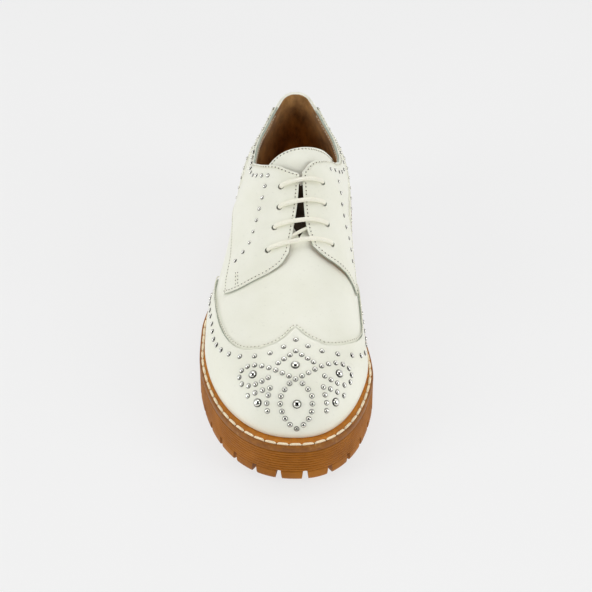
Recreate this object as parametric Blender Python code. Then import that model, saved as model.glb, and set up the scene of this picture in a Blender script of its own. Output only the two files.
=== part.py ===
"""Hobnailed derby, right shoe: a wing-tip derby with dome nails on a thick lugged sole.

The frame is in metres with +Z up. The toe points to -Y and the inner (medial) side of the foot is +X.
The origin is on the floor under the middle of the sole. Sizes below are in millimetres.

The upper is worked out from sections of the last. A place on it is given by its station, which is the
distance from the heel end, and by its rise, which is an angle from 0 at the feather edge to 90 degrees
on the ridge, on the lateral or the medial side.
"""

import math

import bmesh
import bpy
import numpy as np

MM = 0.001
LATERAL = -1
MEDIAL = 1
FULL_RISE = math.pi / 2

# Driving sizes of the last and the sole
LAST_LENGTH = 268.5
WELT_AT_HEEL = 4.0
WELT_AT_TOE = 7.0
HEEL_CLOSE, HEEL_POWER = 42.0, 2.2
TOE_CLOSE, TOE_POWER = 88.0, 2.35
TOE_PROFILE_CLOSE, TOE_PROFILE_POWER = 34.0, 2.1
HEEL_PROFILE_CLOSE, HEEL_PROFILE_POWER = 6.0, 2.0
TUCK, TUCK_HEIGHT = 1.6, 4.0
HEEL_BULGE, HEEL_BULGE_TOP = 2.4, 0.9
HEEL_LEAN, HEEL_LEAN_HEIGHT, HEEL_LEAN_LENGTH = 9.0, 60.0, 80.0
HEEL_LEAN_FOOT, HEEL_LEAN_POWER, HEEL_FADE_POWER = 0.3, 1.6, 1.5

# Thicknesses and clearances
CLEAR = 0.3
LAYER_CLEAR = 0.5
WALL = 2.0
OVERLAY = 1.3
COUNTER_OVERLAY = 1.6
WELT_THICK = 5.5
WELT_BEVEL = 1.2
WELT_GROOVE_SHARE, WELT_GROOVE_HALF, WELT_GROOVE_DEPTH = 0.55, 1.3, 0.8
WELT_RIM, WELT_RIM_TOP = 0.3, 0.2
INSOLE_THICK = 6.2
TONGUE_WALL = 2.2
FACING_LIFT = 2.2
FACING_LIFT_REACH = (34.0, 22.0)
FACING_LIFT_TOP = (96.0, 112.0)
FACING_LIFT_FRONT = (158.0, 173.0)

# The last's sections: half widths from the toe's axis, ridge position, and squareness of the arch
SECTION_COLUMNS = ("station", "lateral", "medial", "ridge_x", "ridge_z", "power")
SECTIONS = (
    (0.0, 34.0, 33.0, -0.5, 113.0, 2.10),
    (40.0, 36.5, 35.0, -0.5, 113.0, 2.10),
    (60.0, 38.3, 35.3, 0.0, 114.5, 2.10),
    (80.0, 40.5, 35.0, 1.5, 118.5, 2.10),
    (100.0, 44.0, 35.0, 2.8, 120.5, 2.05),
    (118.0, 47.5, 36.5, 3.0, 109.3, 1.97),
    (140.0, 52.0, 39.5, 2.5, 95.5, 1.95),
    (165.0, 56.0, 41.5, 1.0, 82.6, 2.00),
    (190.0, 56.3, 43.0, 0.0, 73.8, 2.10),
    (212.0, 55.0, 45.0, -0.5, 67.0, 2.20),
    (237.0, 52.5, 44.0, -0.5, 60.5, 2.35),
    (LAST_LENGTH, 48.0, 42.5, -0.5, 53.0, 2.40),
)

# Heights along the length, as station and height
FEATHER_HEIGHT = (
    (0, 41.0), (45, 40.0), (90, 35.0), (130, 30.5), (180, 28.0), (225, 28.6), (LAST_LENGTH, 31.0),
)
TOPLINE_HEIGHT = (
    (3, 105.5), (8, 101.5), (13, 97.0), (22, 91.0), (35, 87.0), (48, 86.0), (65, 88.5),
    (75, 94.5), (85, 100.5), (95, 106.5), (102, 110.5), (108, 113.5), (116, 112.0),
)

# How far the collar draws in, as station and share of the half width; it starts and ends at these heights
COLLAR_PINCH_HEIGHT = (12.0, 50.0)
COLLAR_PINCH = {
    LATERAL: ((0, 0.10), (6, 0.16), (13, 0.22), (22, 0.225), (35, 0.17), (48, 0.125), (62, 0.10), (85, 0.0)),
    MEDIAL: ((0, 0.10), (6, 0.14), (13, 0.19), (22, 0.18), (35, 0.11), (48, 0.04), (62, -0.01), (85, 0.0)),
}

# Widths along the length, as station and width
WELT_WIDTH = {
    LATERAL: ((0, WELT_AT_HEEL), (60, 2.6), (110, 2.6), (165, 4.2), (215, 4.4), (LAST_LENGTH, WELT_AT_TOE)),
    MEDIAL: (
        (0, WELT_AT_HEEL), (60, 2.6), (110, 2.4), (140, 2.1), (172, 2.2), (194, 4.0), (215, 4.4),
        (LAST_LENGTH, WELT_AT_TOE),
    ),
}
THROAT_SLOT = ((85, 30.0), (105, 24.0), (120, 15.0), (135, 9.0), (150, 0.0))
FACING_GAP = {
    LATERAL: ((108, 0.6), (116, 0.9), (131, 1.9), (144, 3.6), (160, 5.6)),
    MEDIAL: ((108, 0.6), (116, 0.9), (131, 1.9), (144, 3.8), (155.5, 8.4)),
}

# Edges of the overlays, as rise in degrees and station, or station and rise
WING_EDGE = {
    LATERAL: (
        (0, 120.0), (10, 132.0), (17, 145.0), (25, 161.5), (30, 178.0), (36, 195.5), (41, 207.0),
        (47, 215.3), (58, 222.2), (68, 224.0), (77, 222.2), (83, 219.0), (90, 210.8),
    ),
    MEDIAL: (
        (0, 120.0), (8, 138.0), (12, 150.0), (15, 165.0), (17, 178.0), (21, 190.0), (29, 200.5),
        (37.5, 208.0), (48, 214.7), (58, 219.0), (68, 221.2), (81, 217.9), (90, 210.8),
    ),
}
COUNTER_EDGE = ((8, 66), (11, 56), (16, 44), (24, 35), (36, 28), (52, 22.5), (70, 16), (84, 8), (90, 0))
QUARTER_LOW_EDGE = {
    LATERAL: ((60, 18.0), (80, 20.0), (100, 25.5), (115, 30.4), (130, 35.0), (150, 38.0), (170, 38.0)),
    MEDIAL: ((60, 18.0), (80, 19.0), (110, 22.5), (160.5, 24.5)),
}
QUARTER_FRONT_EDGE = {
    LATERAL: ((38, 170.0), (45, 173.0), (53, 174.3), (68, 172.4), (76, 169.5), (81, 166.0), (84.5, 160.0)),
    MEDIAL: ((24.5, 160.5), (31, 157.8), (40, 158.3), (50, 159.8), (57, 160.1), (65, 159.7), (70, 158.8), (77.8, 155.5)),
}
FACING_RAISE = {
    LATERAL: ((80, 0.0), (116, 0.0)),
    MEDIAL: ((80, 0.0), (93, 3.9), (102, 5.6), (106, 6.3), (108.5, 5.8), (111, 4.0), (116, 0.0)),
}
QUARTER_START = 15.5
QUARTER_CROWDING = 1.35
QUARTER_EDGE_GAP = 1.8

# The four lace rows from top to bottom: lateral station and distance from the ridge, then the medial ones
LACE_ROWS = (
    (120.2, 11.3, 115.2, 11.5),
    (131.9, 12.0, 127.2, 12.6),
    (143.5, 14.6, 138.7, 14.7),
    (157.0, 17.8, 149.3, 18.1),
)
LACE_BAR_STARTS = (MEDIAL, LATERAL, MEDIAL, MEDIAL)
LACE_HOLE_RADIUS = 2.2
LACE_HOLE_SIDES = 8
LACE_BAR_RADIUS = 1.6
LACE_UNDER_RADIUS = 0.9
LACE_SIDES_RESOLUTION = 1
LACE_UNDER_SHARES = (0.12, 0.35, 0.65, 0.88)

# The lace's bend out of a hole: share of the bar's length, height over the facing, radius
LACE_BEND = (
    (0.00, -0.6, 1.1),
    (0.00, 1.0, 1.2),
    (0.04, 1.8, 1.4),
    (0.12, 2.1, LACE_BAR_RADIUS),
    (0.30, 2.1, LACE_BAR_RADIUS),
    (0.50, 2.1, LACE_BAR_RADIUS),
)

# The tongue's top edge, as rise over the lateral side from 0 to 180 degrees and station
TONGUE_TOP = (
    (58, 103.0), (63, 99.0), (70, 95.7), (79, 93.8), (88, 92.3), (98, 90.0), (110, 85.0), (124, 77.5),
)
TONGUE_BASE_STATION = 163.0
TONGUE_BASE_ANGLES = (66.0, 116.0)
TONGUE_DEPTH = ((77, 1.6), (97, 1.9), (103, 2.8), (163, 2.7))

# Side and tread of the sole
RIB_COUNT = 7
RIB_PITCH = 2.0
RIB_DEPTH = 0.8
TOE_SPRING, TOE_SPRING_START = 3.0, 205.0
TREAD_BEVEL = 1.0
NOTCH_SPACING, NOTCH_HEIGHT, NOTCH_WIDTH, NOTCH_TOP_WIDTH, NOTCH_LENGTH = 15.9, 7.5, 4.2, 2.6, 13.0
NOTCH_SHIFT = -2.5
GROOVE_DEPTH, GROOVE_WIDTH = 5.0, 4.0
GROOVE_STATIONS = (20, 40, 60, 145, 162, 179, 196, 213, 230)
GROOVE_REACH = 0.42
ARCH_START, ARCH_END, ARCH_HEIGHT, ARCH_SLOPE = 80.0, 126.0, 9.0, 7.0

# The six large nails of the toe pattern: station, rise over the lateral side from 0 to 180 degrees
LARGE_NAILS = ((237.5, 90.0), (240.0, 57.0), (237.5, 130.5), (255.0, 48.0), (253.0, 141.0), (258.5, 91.0))
NAIL_RADIUS, NAIL_HEIGHT = 2.5, 1.7

# Mesh density
UPPER_ROWS, UPPER_COLUMNS = 40, 9
OUTLINE_STATIONS = 35
QUARTER_COLUMNS, QUARTER_ROWS = 23, 6
WING_COLUMNS, TOOTH_COLUMNS = 7, 3
COUNTER_COLUMNS = 7
TONGUE_ROWS, TONGUE_COLUMNS = 9, 9
INSOLE_COLUMNS = 4
NAIL_SIDES, NAIL_RINGS = 10, 2

COLOURS = {
    "leather": ((0.82, 0.82, 0.72), 0.45, 0.0),
    "tan_leather": ((0.36, 0.13, 0.03), 0.55, 0.0),
    "rubber": ((0.26, 0.10, 0.025), 0.6, 0.0),
    "footbed": ((0.20, 0.09, 0.03), 0.7, 0.0),
    "cotton": ((0.86, 0.84, 0.70), 0.8, 0.0),
    "steel": ((0.62, 0.62, 0.60), 0.2, 1.0),
}


# Curves from short tables

def smooth(table, x):
    """A monotone cubic through the rows of a table, without overshoot."""
    xs = np.array([row[0] for row in table], float)
    ys = np.array([row[1] for row in table], float)
    step = np.diff(xs)
    slope = np.diff(ys) / step
    tangent = np.zeros_like(ys)
    tangent[0] = slope[0]
    tangent[-1] = slope[-1]
    same = slope[:-1] * slope[1:] > 0
    first = (2 * step[1:] + step[:-1])[same]
    second = (step[1:] + 2 * step[:-1])[same]
    tangent[1:-1][same] = (first + second) / (first / slope[:-1][same] + second / slope[1:][same])
    x = np.clip(np.asarray(x, float), xs[0], xs[-1])
    i = np.clip(np.searchsorted(xs, x, side="right") - 1, 0, len(step) - 1)
    t = (x - xs[i]) / step[i]
    start = (1 + 2 * t) * (1 - t) ** 2 * ys[i] + t * (1 - t) ** 2 * step[i] * tangent[i]
    end = t**2 * (3 - 2 * t) * ys[i + 1] + t**2 * (t - 1) * step[i] * tangent[i + 1]
    return start + end


def section_value(name, station):
    column = SECTION_COLUMNS.index(name)
    return smooth([(row[0], row[column]) for row in SECTIONS], station)


def ease(low, high, x):
    t = np.clip((x - low) / (high - low), 0, 1)
    return t * t * (3 - 2 * t)


def closing(distance, length, power):
    """Goes from 0 at an end of the last to 1 at the given length from it, along a superellipse."""
    t = np.clip(1 - distance / length, 0, 1)
    return np.maximum(1 - t**power, 0) ** (1 / power)


def end_spaced(count):
    """Stations along the last, closer together near heel and toe."""
    return LAST_LENGTH / 2 * (1 - np.cos(np.linspace(0, math.pi, count)))


def upper_stations():
    """Stations of the upper's rows, one of them where the collar begins at the back."""
    return np.union1d(end_spaced(UPPER_ROWS), TOPLINE_HEIGHT[0][0])


# The last

def plan_closing(station):
    heel = closing(station, HEEL_CLOSE, HEEL_POWER)
    return heel * closing(LAST_LENGTH - station, TOE_CLOSE, TOE_POWER)


def feather_height(station):
    return smooth(FEATHER_HEIGHT, station)


def ridge_rise(station):
    """Height of the ridge over the feather edge."""
    full = section_value("ridge_z", station) - feather_height(station)
    toe = closing(LAST_LENGTH - station, TOE_PROFILE_CLOSE, TOE_PROFILE_POWER)
    return full * toe * closing(station, HEEL_PROFILE_CLOSE, HEEL_PROFILE_POWER)


def welt_width(station):
    """The welt's width along the loop of the outline, whose lateral half comes first."""
    half = len(station) // 2 + 1
    return np.concatenate([smooth(WELT_WIDTH[LATERAL], station[:half]), smooth(WELT_WIDTH[MEDIAL], station[half:])])


def outline_loop(inset=0.0):
    """The last's outline in plan from the heel round the lateral side, widened by the welt less the inset."""
    s = end_spaced(OUTLINE_STATIONS)
    close = plan_closing(s)
    lateral = np.column_stack([-section_value("lateral", s) * close, -s])
    medial = np.column_stack([section_value("medial", s) * close, -s])
    points = np.concatenate([lateral, medial[-2:0:-1]])
    station = np.concatenate([s, s[-2:0:-1]])
    tangent = np.roll(points, -1, axis=0) - np.roll(points, 1, axis=0)
    tangent /= np.linalg.norm(tangent, axis=1, keepdims=True)
    normal = np.column_stack([tangent[:, 1], -tangent[:, 0]])
    width = welt_width(station) - inset
    return points + normal * width[:, None], station


def sole_middle():
    points, _ = outline_loop()
    return (points.min(axis=0) + points.max(axis=0)) / 2


AXIS_X, HEEL_Y = -sole_middle()


def last_point(station, angle):
    """A point of the last, with the angle running from 0 on the lateral side to pi on the medial side."""
    close = plan_closing(station)
    lateral = section_value("lateral", station) * close
    medial = section_value("medial", station) * close
    ridge_x = section_value("ridge_x", station) * close
    exponent = 2 / section_value("power", station)
    spread = np.abs(np.cos(angle)) ** exponent
    height = ridge_rise(station) * np.abs(np.sin(angle)) ** exponent
    half = np.where(np.cos(angle) > 0, -ridge_x - lateral, medial - ridge_x)
    pinch = np.where(np.cos(angle) > 0, smooth(COLLAR_PINCH[LATERAL], station),
                     smooth(COLLAR_PINCH[MEDIAL], station))
    x = ridge_x + half * spread * (1 - pinch * ease(*COLLAR_PINCH_HEIGHT, height))
    share = height / HEEL_LEAN_HEIGHT
    bulge = HEEL_BULGE * np.sin(math.pi * np.clip(share / HEEL_BULGE_TOP, 0, 1))
    lean = HEEL_LEAN * np.clip(share - HEEL_LEAN_FOOT, 0, None) ** HEEL_LEAN_POWER - bulge
    lean = lean * np.clip(1 - station / HEEL_LEAN_LENGTH, 0, 1) ** HEEL_FADE_POWER
    return np.stack([AXIS_X + x, HEEL_Y - station - lean, feather_height(station) + height], axis=-1)


def upper_point(station, angle, offset):
    """A point at an offset outwards from the last, tucked in near the feather edge."""
    station, angle, offset = np.broadcast_arrays(
        np.asarray(station, float), np.asarray(angle, float), np.asarray(offset, float)
    )
    step, turn = 0.05, 0.002
    s = np.clip(station, 2 * step, LAST_LENGTH - 2 * step)
    a = np.clip(angle, 2 * turn, math.pi - 2 * turn)
    along = last_point(s + step, a) - last_point(s - step, a)
    around = last_point(s, a + turn) - last_point(s, a - turn)
    normal = np.cross(along, around)
    normal /= np.linalg.norm(normal, axis=-1, keepdims=True)
    point = last_point(station, angle)
    height = point[..., 2] - feather_height(station)
    reach = offset - TUCK * np.exp(-height / TUCK_HEIGHT)
    return point + normal * reach[..., None]


def side_angle(side, rise):
    return rise if side == LATERAL else math.pi - rise


def rise_at_height(station, height):
    share = np.clip((height - feather_height(station)) / np.maximum(ridge_rise(station), 1e-6), 0, 1)
    return np.arcsin(share ** (section_value("power", station) / 2))


def rise_at_reach(side, station, reach):
    """The rise at a sideways distance from the ridge."""
    width = section_value("lateral" if side == LATERAL else "medial", station) * plan_closing(station)
    width = width - side * section_value("ridge_x", station)
    share = np.clip(reach / np.maximum(width, 1e-6), 0, 1)
    return np.arccos(share ** (section_value("power", station) / 2))


def topline_rise(station):
    return rise_at_height(station, smooth(TOPLINE_HEIGHT, station))


def facing_lift(side, station, rise):
    """How far the facing stands off the vamp, to leave room for the lace under it."""
    far, near = (rise_at_reach(side, station, reach) for reach in FACING_LIFT_REACH)
    along = ease(*FACING_LIFT_TOP, station) * (1 - ease(*FACING_LIFT_FRONT, station))
    return FACING_LIFT * ease(far, near, rise) * along


# Meshes

def material(name):
    if name in bpy.data.materials:
        return bpy.data.materials[name]
    colour, roughness, metallic = COLOURS[name]
    made = bpy.data.materials.new(name)
    made.use_nodes = True
    shader = made.node_tree.nodes["Principled BSDF"]
    shader.inputs["Base Color"].default_value = (*colour, 1.0)
    shader.inputs["Roughness"].default_value = roughness
    shader.inputs["Metallic"].default_value = metallic
    made.diffuse_color = (*colour, 1.0)
    return made


def add_object(name, points, faces, finish):
    """A mesh object from points in millimetres, with its faces turned outwards."""
    mesh = bpy.data.meshes.new(name)
    mesh.from_pydata([tuple(float(c) * MM for c in p) for p in points], [], faces)
    work = bmesh.new()
    work.from_mesh(mesh)
    loose = [vert for vert in work.verts if not vert.link_faces]
    bmesh.ops.delete(work, geom=loose, context="VERTS")
    bmesh.ops.triangulate(work, faces=work.faces[:])
    bmesh.ops.recalc_face_normals(work, faces=work.faces[:])
    work.to_mesh(mesh)
    work.free()
    mesh.shade_smooth()
    mesh.set_sharp_from_angle(angle=math.radians(35))
    mesh.materials.append(material(finish))
    made = bpy.data.objects.new(name, mesh)
    bpy.context.scene.collection.objects.link(made)
    return made


def closed_shell(outer, inner, open_columns=()):
    """Points and faces of a closed wall between two grids of points; coinciding points are merged."""
    rows, columns = outer.shape[:2]
    index = {}
    ids = np.empty((rows, columns), int)
    for r in range(rows):
        for c in range(columns):
            key = tuple(np.round(outer[r, c], 4))
            ids[r, c] = index.setdefault(key, len(index))
    count = len(index)
    points = np.zeros((2 * count, 3))
    uses = np.zeros(count)
    for r in range(rows):
        for c in range(columns):
            points[ids[r, c]] += outer[r, c]
            points[count + ids[r, c]] += inner[r, c]
            uses[ids[r, c]] += 1
    points /= np.concatenate([uses, uses])[:, None]
    faces = []
    edges = set()
    for r in range(rows - 1):
        for c in range(columns - 1):
            if c in open_columns:
                continue
            corners = [ids[r, c], ids[r, c + 1], ids[r + 1, c + 1], ids[r + 1, c]]
            face = [int(a) for a, b in zip(corners, corners[1:] + corners[:1]) if a != b]
            if len(face) < 3:
                continue
            faces.append(face)
            faces.append([a + count for a in reversed(face)])
            edges.update(zip(face, face[1:] + face[:1]))
    for a, b in edges:
        if (b, a) not in edges:
            faces.append([b, a, a + count, b + count])
    return points, faces


def ring_faces(levels, count):
    """Quads of a tube whose rings hold the same number of points."""
    faces = []
    for k in range(levels - 1):
        for i in range(count):
            j = (i + 1) % count
            faces.append([k * count + i, k * count + j, (k + 1) * count + j, (k + 1) * count + i])
    return faces


def cut(target, name, pieces):
    """Cuts away closed pieces, each given as points and faces, that don't touch each other."""
    points = []
    faces = []
    for piece_points, piece_faces in pieces:
        faces += [[i + len(points) for i in face] for face in piece_faces]
        points += list(piece_points)
    cutter = add_object(name, points, faces, "rubber")
    cutter.hide_render = True
    cutter.display_type = "WIRE"
    modifier = target.modifiers.new(name, "BOOLEAN")
    modifier.operation = "DIFFERENCE"
    modifier.solver = "EXACT"
    modifier.object = cutter


def prism(profile, start, end):
    """A closed prism between two copies of a profile, each placed by a function of a profile point."""
    points = [start(p) for p in profile] + [end(p) for p in profile]
    count = len(profile)
    faces = ring_faces(2, count)
    faces += [list(range(count))[::-1], list(range(count, 2 * count))]
    return points, faces


# The pieces

def side_rows(side, station, low, high, columns, offset):
    """Points of one side, a row for each station, between two rises."""
    share = np.linspace(0, 1, columns)[None, :]
    rise = low[:, None] + (high - low)[:, None] * share
    return upper_point(station[:, None], side_angle(side, rise), offset)


def joined_sides(lateral, medial):
    """One grid across the shoe from the rows of its two sides."""
    return np.concatenate([lateral, medial[:, ::-1]], axis=1)


def upper_grid(offset):
    station = upper_stations()
    halves = []
    for side in (LATERAL, MEDIAL):
        slot = rise_at_reach(side, station, smooth(THROAT_SLOT, station))
        top = np.minimum(topline_rise(station), np.where(station > THROAT_SLOT[0][0], slot, FULL_RISE))
        halves.append(side_rows(side, station, 0 * top, top, UPPER_COLUMNS, offset))
    grid = joined_sides(*halves)
    grid[0] = grid[0].mean(axis=0)
    grid[-1] = grid[-1].mean(axis=0)
    return grid


def make_upper():
    points, faces = closed_shell(upper_grid(0.0), upper_grid(-WALL), open_columns=(UPPER_COLUMNS - 1,))
    add_object("upper", points, faces, "leather")


def wing_cap_grid(offset):
    """The cap's rows: the wing up to its valley, and the tooth in the middle that ends in the peak."""
    valleys = [max(WING_EDGE[side], key=lambda row: row[1]) for side in (LATERAL, MEDIAL)]
    peak = WING_EDGE[LATERAL][-1][1]
    start = WING_EDGE[LATERAL][0][1]
    station = upper_stations()
    station = np.union1d(station[station > start], [start, peak] + [valley[1] for valley in valleys])
    halves = []
    for side, valley in zip((LATERAL, MEDIAL), valleys):
        table = [(place, rise) for rise, place in WING_EDGE[side]]
        split = WING_EDGE[side].index(valley)
        wing = np.radians(smooth(table[:split + 1], station))
        tooth = np.radians(smooth(table[:split - 1:-1], station))
        low = side_rows(side, station, 0 * wing, wing, WING_COLUMNS, offset)
        high = side_rows(side, station, tooth, 0 * tooth + FULL_RISE, TOOTH_COLUMNS, offset)
        halves.append(np.concatenate([low, high], axis=1))
    grid = joined_sides(*halves)
    grid[-1] = grid[-1].mean(axis=0)
    return grid


def make_wing_cap():
    valleys = (WING_COLUMNS - 1, WING_COLUMNS + 2 * TOOTH_COLUMNS - 1)
    points, faces = closed_shell(wing_cap_grid(LAYER_CLEAR + OVERLAY), wing_cap_grid(LAYER_CLEAR), valleys)
    add_object("wing_cap", points, faces, "leather")


def counter_grid(offset):
    end = COUNTER_EDGE[-1][0]
    station = upper_stations()
    station = np.append(station[station < end], end)
    top = np.minimum(topline_rise(station), np.radians(smooth(COUNTER_EDGE, station)))
    top = np.where(station < COUNTER_EDGE[0][0], topline_rise(station), top)
    halves = [side_rows(side, station, 0 * top, top, COUNTER_COLUMNS, offset) for side in (LATERAL, MEDIAL)]
    grid = joined_sides(*halves)
    grid[0] = grid[0].mean(axis=0)
    return grid


def make_heel_counter():
    outer = counter_grid(LAYER_CLEAR + COUNTER_OVERLAY)
    points, faces = closed_shell(outer, counter_grid(LAYER_CLEAR), (COUNTER_COLUMNS - 1,))
    add_object("heel_counter", points, faces, "leather")


def quarter_places(side):
    """Station and rise over the quarter: a patch between its low edge, its front edge and its top edge."""
    low_table, front_table = QUARTER_LOW_EDGE[side], QUARTER_FRONT_EDGE[side]
    low_corner = np.array([front_table[0][1], front_table[0][0]])
    top_corner = np.array([front_table[-1][1], front_table[-1][0]])
    u = np.linspace(0, 1, QUARTER_COLUMNS) ** QUARTER_CROWDING
    v = np.linspace(0, 1, QUARTER_ROWS)[:, None]
    low_station = QUARTER_START + (low_corner[0] - QUARTER_START) * u
    counter = smooth(COUNTER_EDGE, low_station) + QUARTER_EDGE_GAP
    plain = smooth(low_table, low_station)
    low_rise = np.where(low_station < COUNTER_EDGE[-2][0], np.maximum(counter, plain), plain)
    top_station = QUARTER_START + (top_corner[0] - QUARTER_START) * u
    gap = np.where(top_station < FACING_GAP[side][0][0], FULL_RISE,
                   rise_at_reach(side, top_station, smooth(FACING_GAP[side], top_station)))
    raised = np.radians(smooth(FACING_RAISE[side], top_station))
    top_rise = np.degrees(np.minimum(topline_rise(top_station) + raised, gap))
    low_rise = np.minimum(low_rise, top_rise - 0.5)
    front_rise = low_corner[1] + (top_corner[1] - low_corner[1]) * v
    front_station = smooth(front_table, front_rise)
    straight = low_corner[0] + (top_corner[0] - low_corner[0]) * v
    station = (1 - v) * low_station + v * top_station + u**3 * (front_station - straight)
    rise = (1 - v) * low_rise + v * top_rise
    return station, np.radians(rise)


def make_quarter(side, name):
    station, rise = quarter_places(side)
    inside = LAYER_CLEAR + facing_lift(side, station, rise)
    angle = side_angle(side, rise)
    outer = upper_point(station, angle, inside + OVERLAY)
    points, faces = closed_shell(outer, upper_point(station, angle, inside))
    quarter = add_object(name, points, faces, "leather")
    cut(quarter, name + "_holes", [lace_hole(side, row) for row in range(len(LACE_ROWS))])


def lace_place(side, row):
    first = 0 if side == LATERAL else 2
    station, reach = LACE_ROWS[row][first:first + 2]
    return station, float(rise_at_reach(side, station, reach))


def lace_hole(side, row):
    """A round pin through the facing, along its normal."""
    station, rise = lace_place(side, row)
    angle = side_angle(side, rise)
    low = upper_point(station, angle, FACING_LIFT - 1.5)
    high = upper_point(station, angle, FACING_LIFT + LAYER_CLEAR + OVERLAY + 1.5)
    axis = (high - low) / np.linalg.norm(high - low)
    first = np.cross(axis, (0.0, 1.0, 0.0))
    first /= np.linalg.norm(first)
    second = np.cross(axis, first)
    turns = np.linspace(0, 2 * math.pi, LACE_HOLE_SIDES + 1)[:-1]
    circle = [(math.cos(t) * first + math.sin(t) * second) * LACE_HOLE_RADIUS for t in turns]
    return prism(circle, lambda p: low + p, lambda p: high + p)


def tongue_grid(extra):
    v = np.linspace(0, 1, TONGUE_COLUMNS)
    t = np.linspace(0, 1, TONGUE_ROWS)[:, None]
    top_angle = TONGUE_TOP[0][0] + (TONGUE_TOP[-1][0] - TONGUE_TOP[0][0]) * v
    base_angle = TONGUE_BASE_ANGLES[0] + (TONGUE_BASE_ANGLES[1] - TONGUE_BASE_ANGLES[0]) * v
    top_station = smooth(TONGUE_TOP, top_angle)
    station = top_station + (TONGUE_BASE_STATION - top_station) * t
    angle = np.radians(top_angle + (base_angle - top_angle) * t)
    return upper_point(station, angle, -smooth(TONGUE_DEPTH, station) - extra)


def make_tongue():
    points, faces = closed_shell(tongue_grid(0.0), tongue_grid(TONGUE_WALL))
    add_object("tongue", points, faces, "leather")


def make_insole():
    _, station = outline_loop()
    inset = welt_width(station) + TUCK + WALL + 2 * CLEAR
    inner, _ = outline_loop(inset)
    half = OUTLINE_STATIONS
    lateral = inner[:half]
    medial = np.concatenate([inner[:1], inner[half:][::-1], inner[half - 1:half]])
    share = np.linspace(0, 1, INSOLE_COLUMNS)[None, :, None]
    plan = lateral[:, None] + (medial - lateral)[:, None] * share
    top = feather_height(station[:half]) - WELT_THICK + INSOLE_THICK
    low = feather_height(station[:half]) - WELT_THICK
    grids = []
    for level in (top, low):
        z = np.broadcast_to(level[:, None, None], (half, INSOLE_COLUMNS, 1))
        grids.append(np.concatenate([plan + (AXIS_X, HEEL_Y), z], axis=2))
    points, faces = closed_shell(*grids)
    add_object("insole", points, faces, "footbed")


def make_welt():
    """A ring whose profile runs from its inner foot over the stitch groove to the bevelled outer edge."""
    _, station = outline_loop()
    full = welt_width(station)
    inner = full + TUCK + WALL
    groove = full * WELT_GROOVE_SHARE
    half = np.minimum(WELT_GROOVE_HALF, groove - WELT_RIM)
    rim = np.minimum(WELT_BEVEL, groove - half - WELT_RIM_TOP)
    profile = (
        (inner, -WELT_THICK), (inner, -CLEAR), (groove + half, -CLEAR),
        (groove, -CLEAR - WELT_GROOVE_DEPTH), (groove - half, -CLEAR), (rim, -CLEAR - 0.1),
        (0.0 * full, -2 * WELT_BEVEL), (0.0 * full, -WELT_THICK),
    )
    points = []
    for inset, depth in profile:
        loop, _ = outline_loop(inset)
        points += [(x + AXIS_X, y + HEEL_Y, z) for (x, y), z in zip(loop, feather_height(station) + depth)]
    count = len(station)
    faces = ring_faces(len(profile), count)
    last = (len(profile) - 1) * count
    faces += [[last + i, last + (i + 1) % count, (i + 1) % count, i] for i in range(count)]
    add_object("welt", points, faces, "tan_leather")


def tread_height(station):
    return TOE_SPRING * np.clip((station - TOE_SPRING_START) / (LAST_LENGTH - TOE_SPRING_START), 0, 1) ** 2


def cap_faces(first, half, count):
    """Faces that close a ring of the outline by joining the two sides station by station."""
    sides = [(first + i, first + (count - i) % count) for i in range(half)]
    faces = []
    for (a, b), (c, d) in zip(sides, sides[1:]):
        corners = [a, c, d, b]
        faces.append([p for p, q in zip(corners, corners[1:] + corners[:1]) if p != q])
    return faces


def make_outsole():
    """The moulded unit: ribbed side and plain foot, with arch, notches and grooves cut out."""
    _, station = outline_loop()
    top = feather_height(station) - WELT_THICK - CLEAR
    rings = []
    for k in range(2 * RIB_COUNT + 1):
        inset = RIB_DEPTH if k % 2 else 0.0
        rings.append((inset, top - k * RIB_PITCH / 2))
    rings.append((0.0, tread_height(station) + TREAD_BEVEL))
    rings.append((TREAD_BEVEL, tread_height(station)))
    points = []
    for inset, height in rings:
        loop, _ = outline_loop(inset)
        points += [(x + AXIS_X, y + HEEL_Y, z) for (x, y), z in zip(loop, height)]
    count = len(station)
    faces = ring_faces(len(rings), count)
    faces += [face[::-1] for face in cap_faces(0, OUTLINE_STATIONS, count)]
    faces += cap_faces((len(rings) - 1) * count, OUTLINE_STATIONS, count)
    outsole = add_object("outsole", points, faces, "rubber")
    cut(outsole, "arch", [arch_piece()])
    cut(outsole, "edge_notches", notch_pieces())
    cut(outsole, "tread_grooves", groove_pieces())


def arch_piece():
    below, side = -5.0, 90.0
    profile = (
        (HEEL_Y - ARCH_START + 2.0, below), (HEEL_Y - ARCH_START - 2.0, ARCH_HEIGHT),
        (HEEL_Y - ARCH_END + ARCH_SLOPE, ARCH_HEIGHT), (HEEL_Y - ARCH_END - ARCH_SLOPE * 0.6, below),
    )
    return prism(profile, lambda p: (-side, *p), lambda p: (side, *p))


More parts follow.
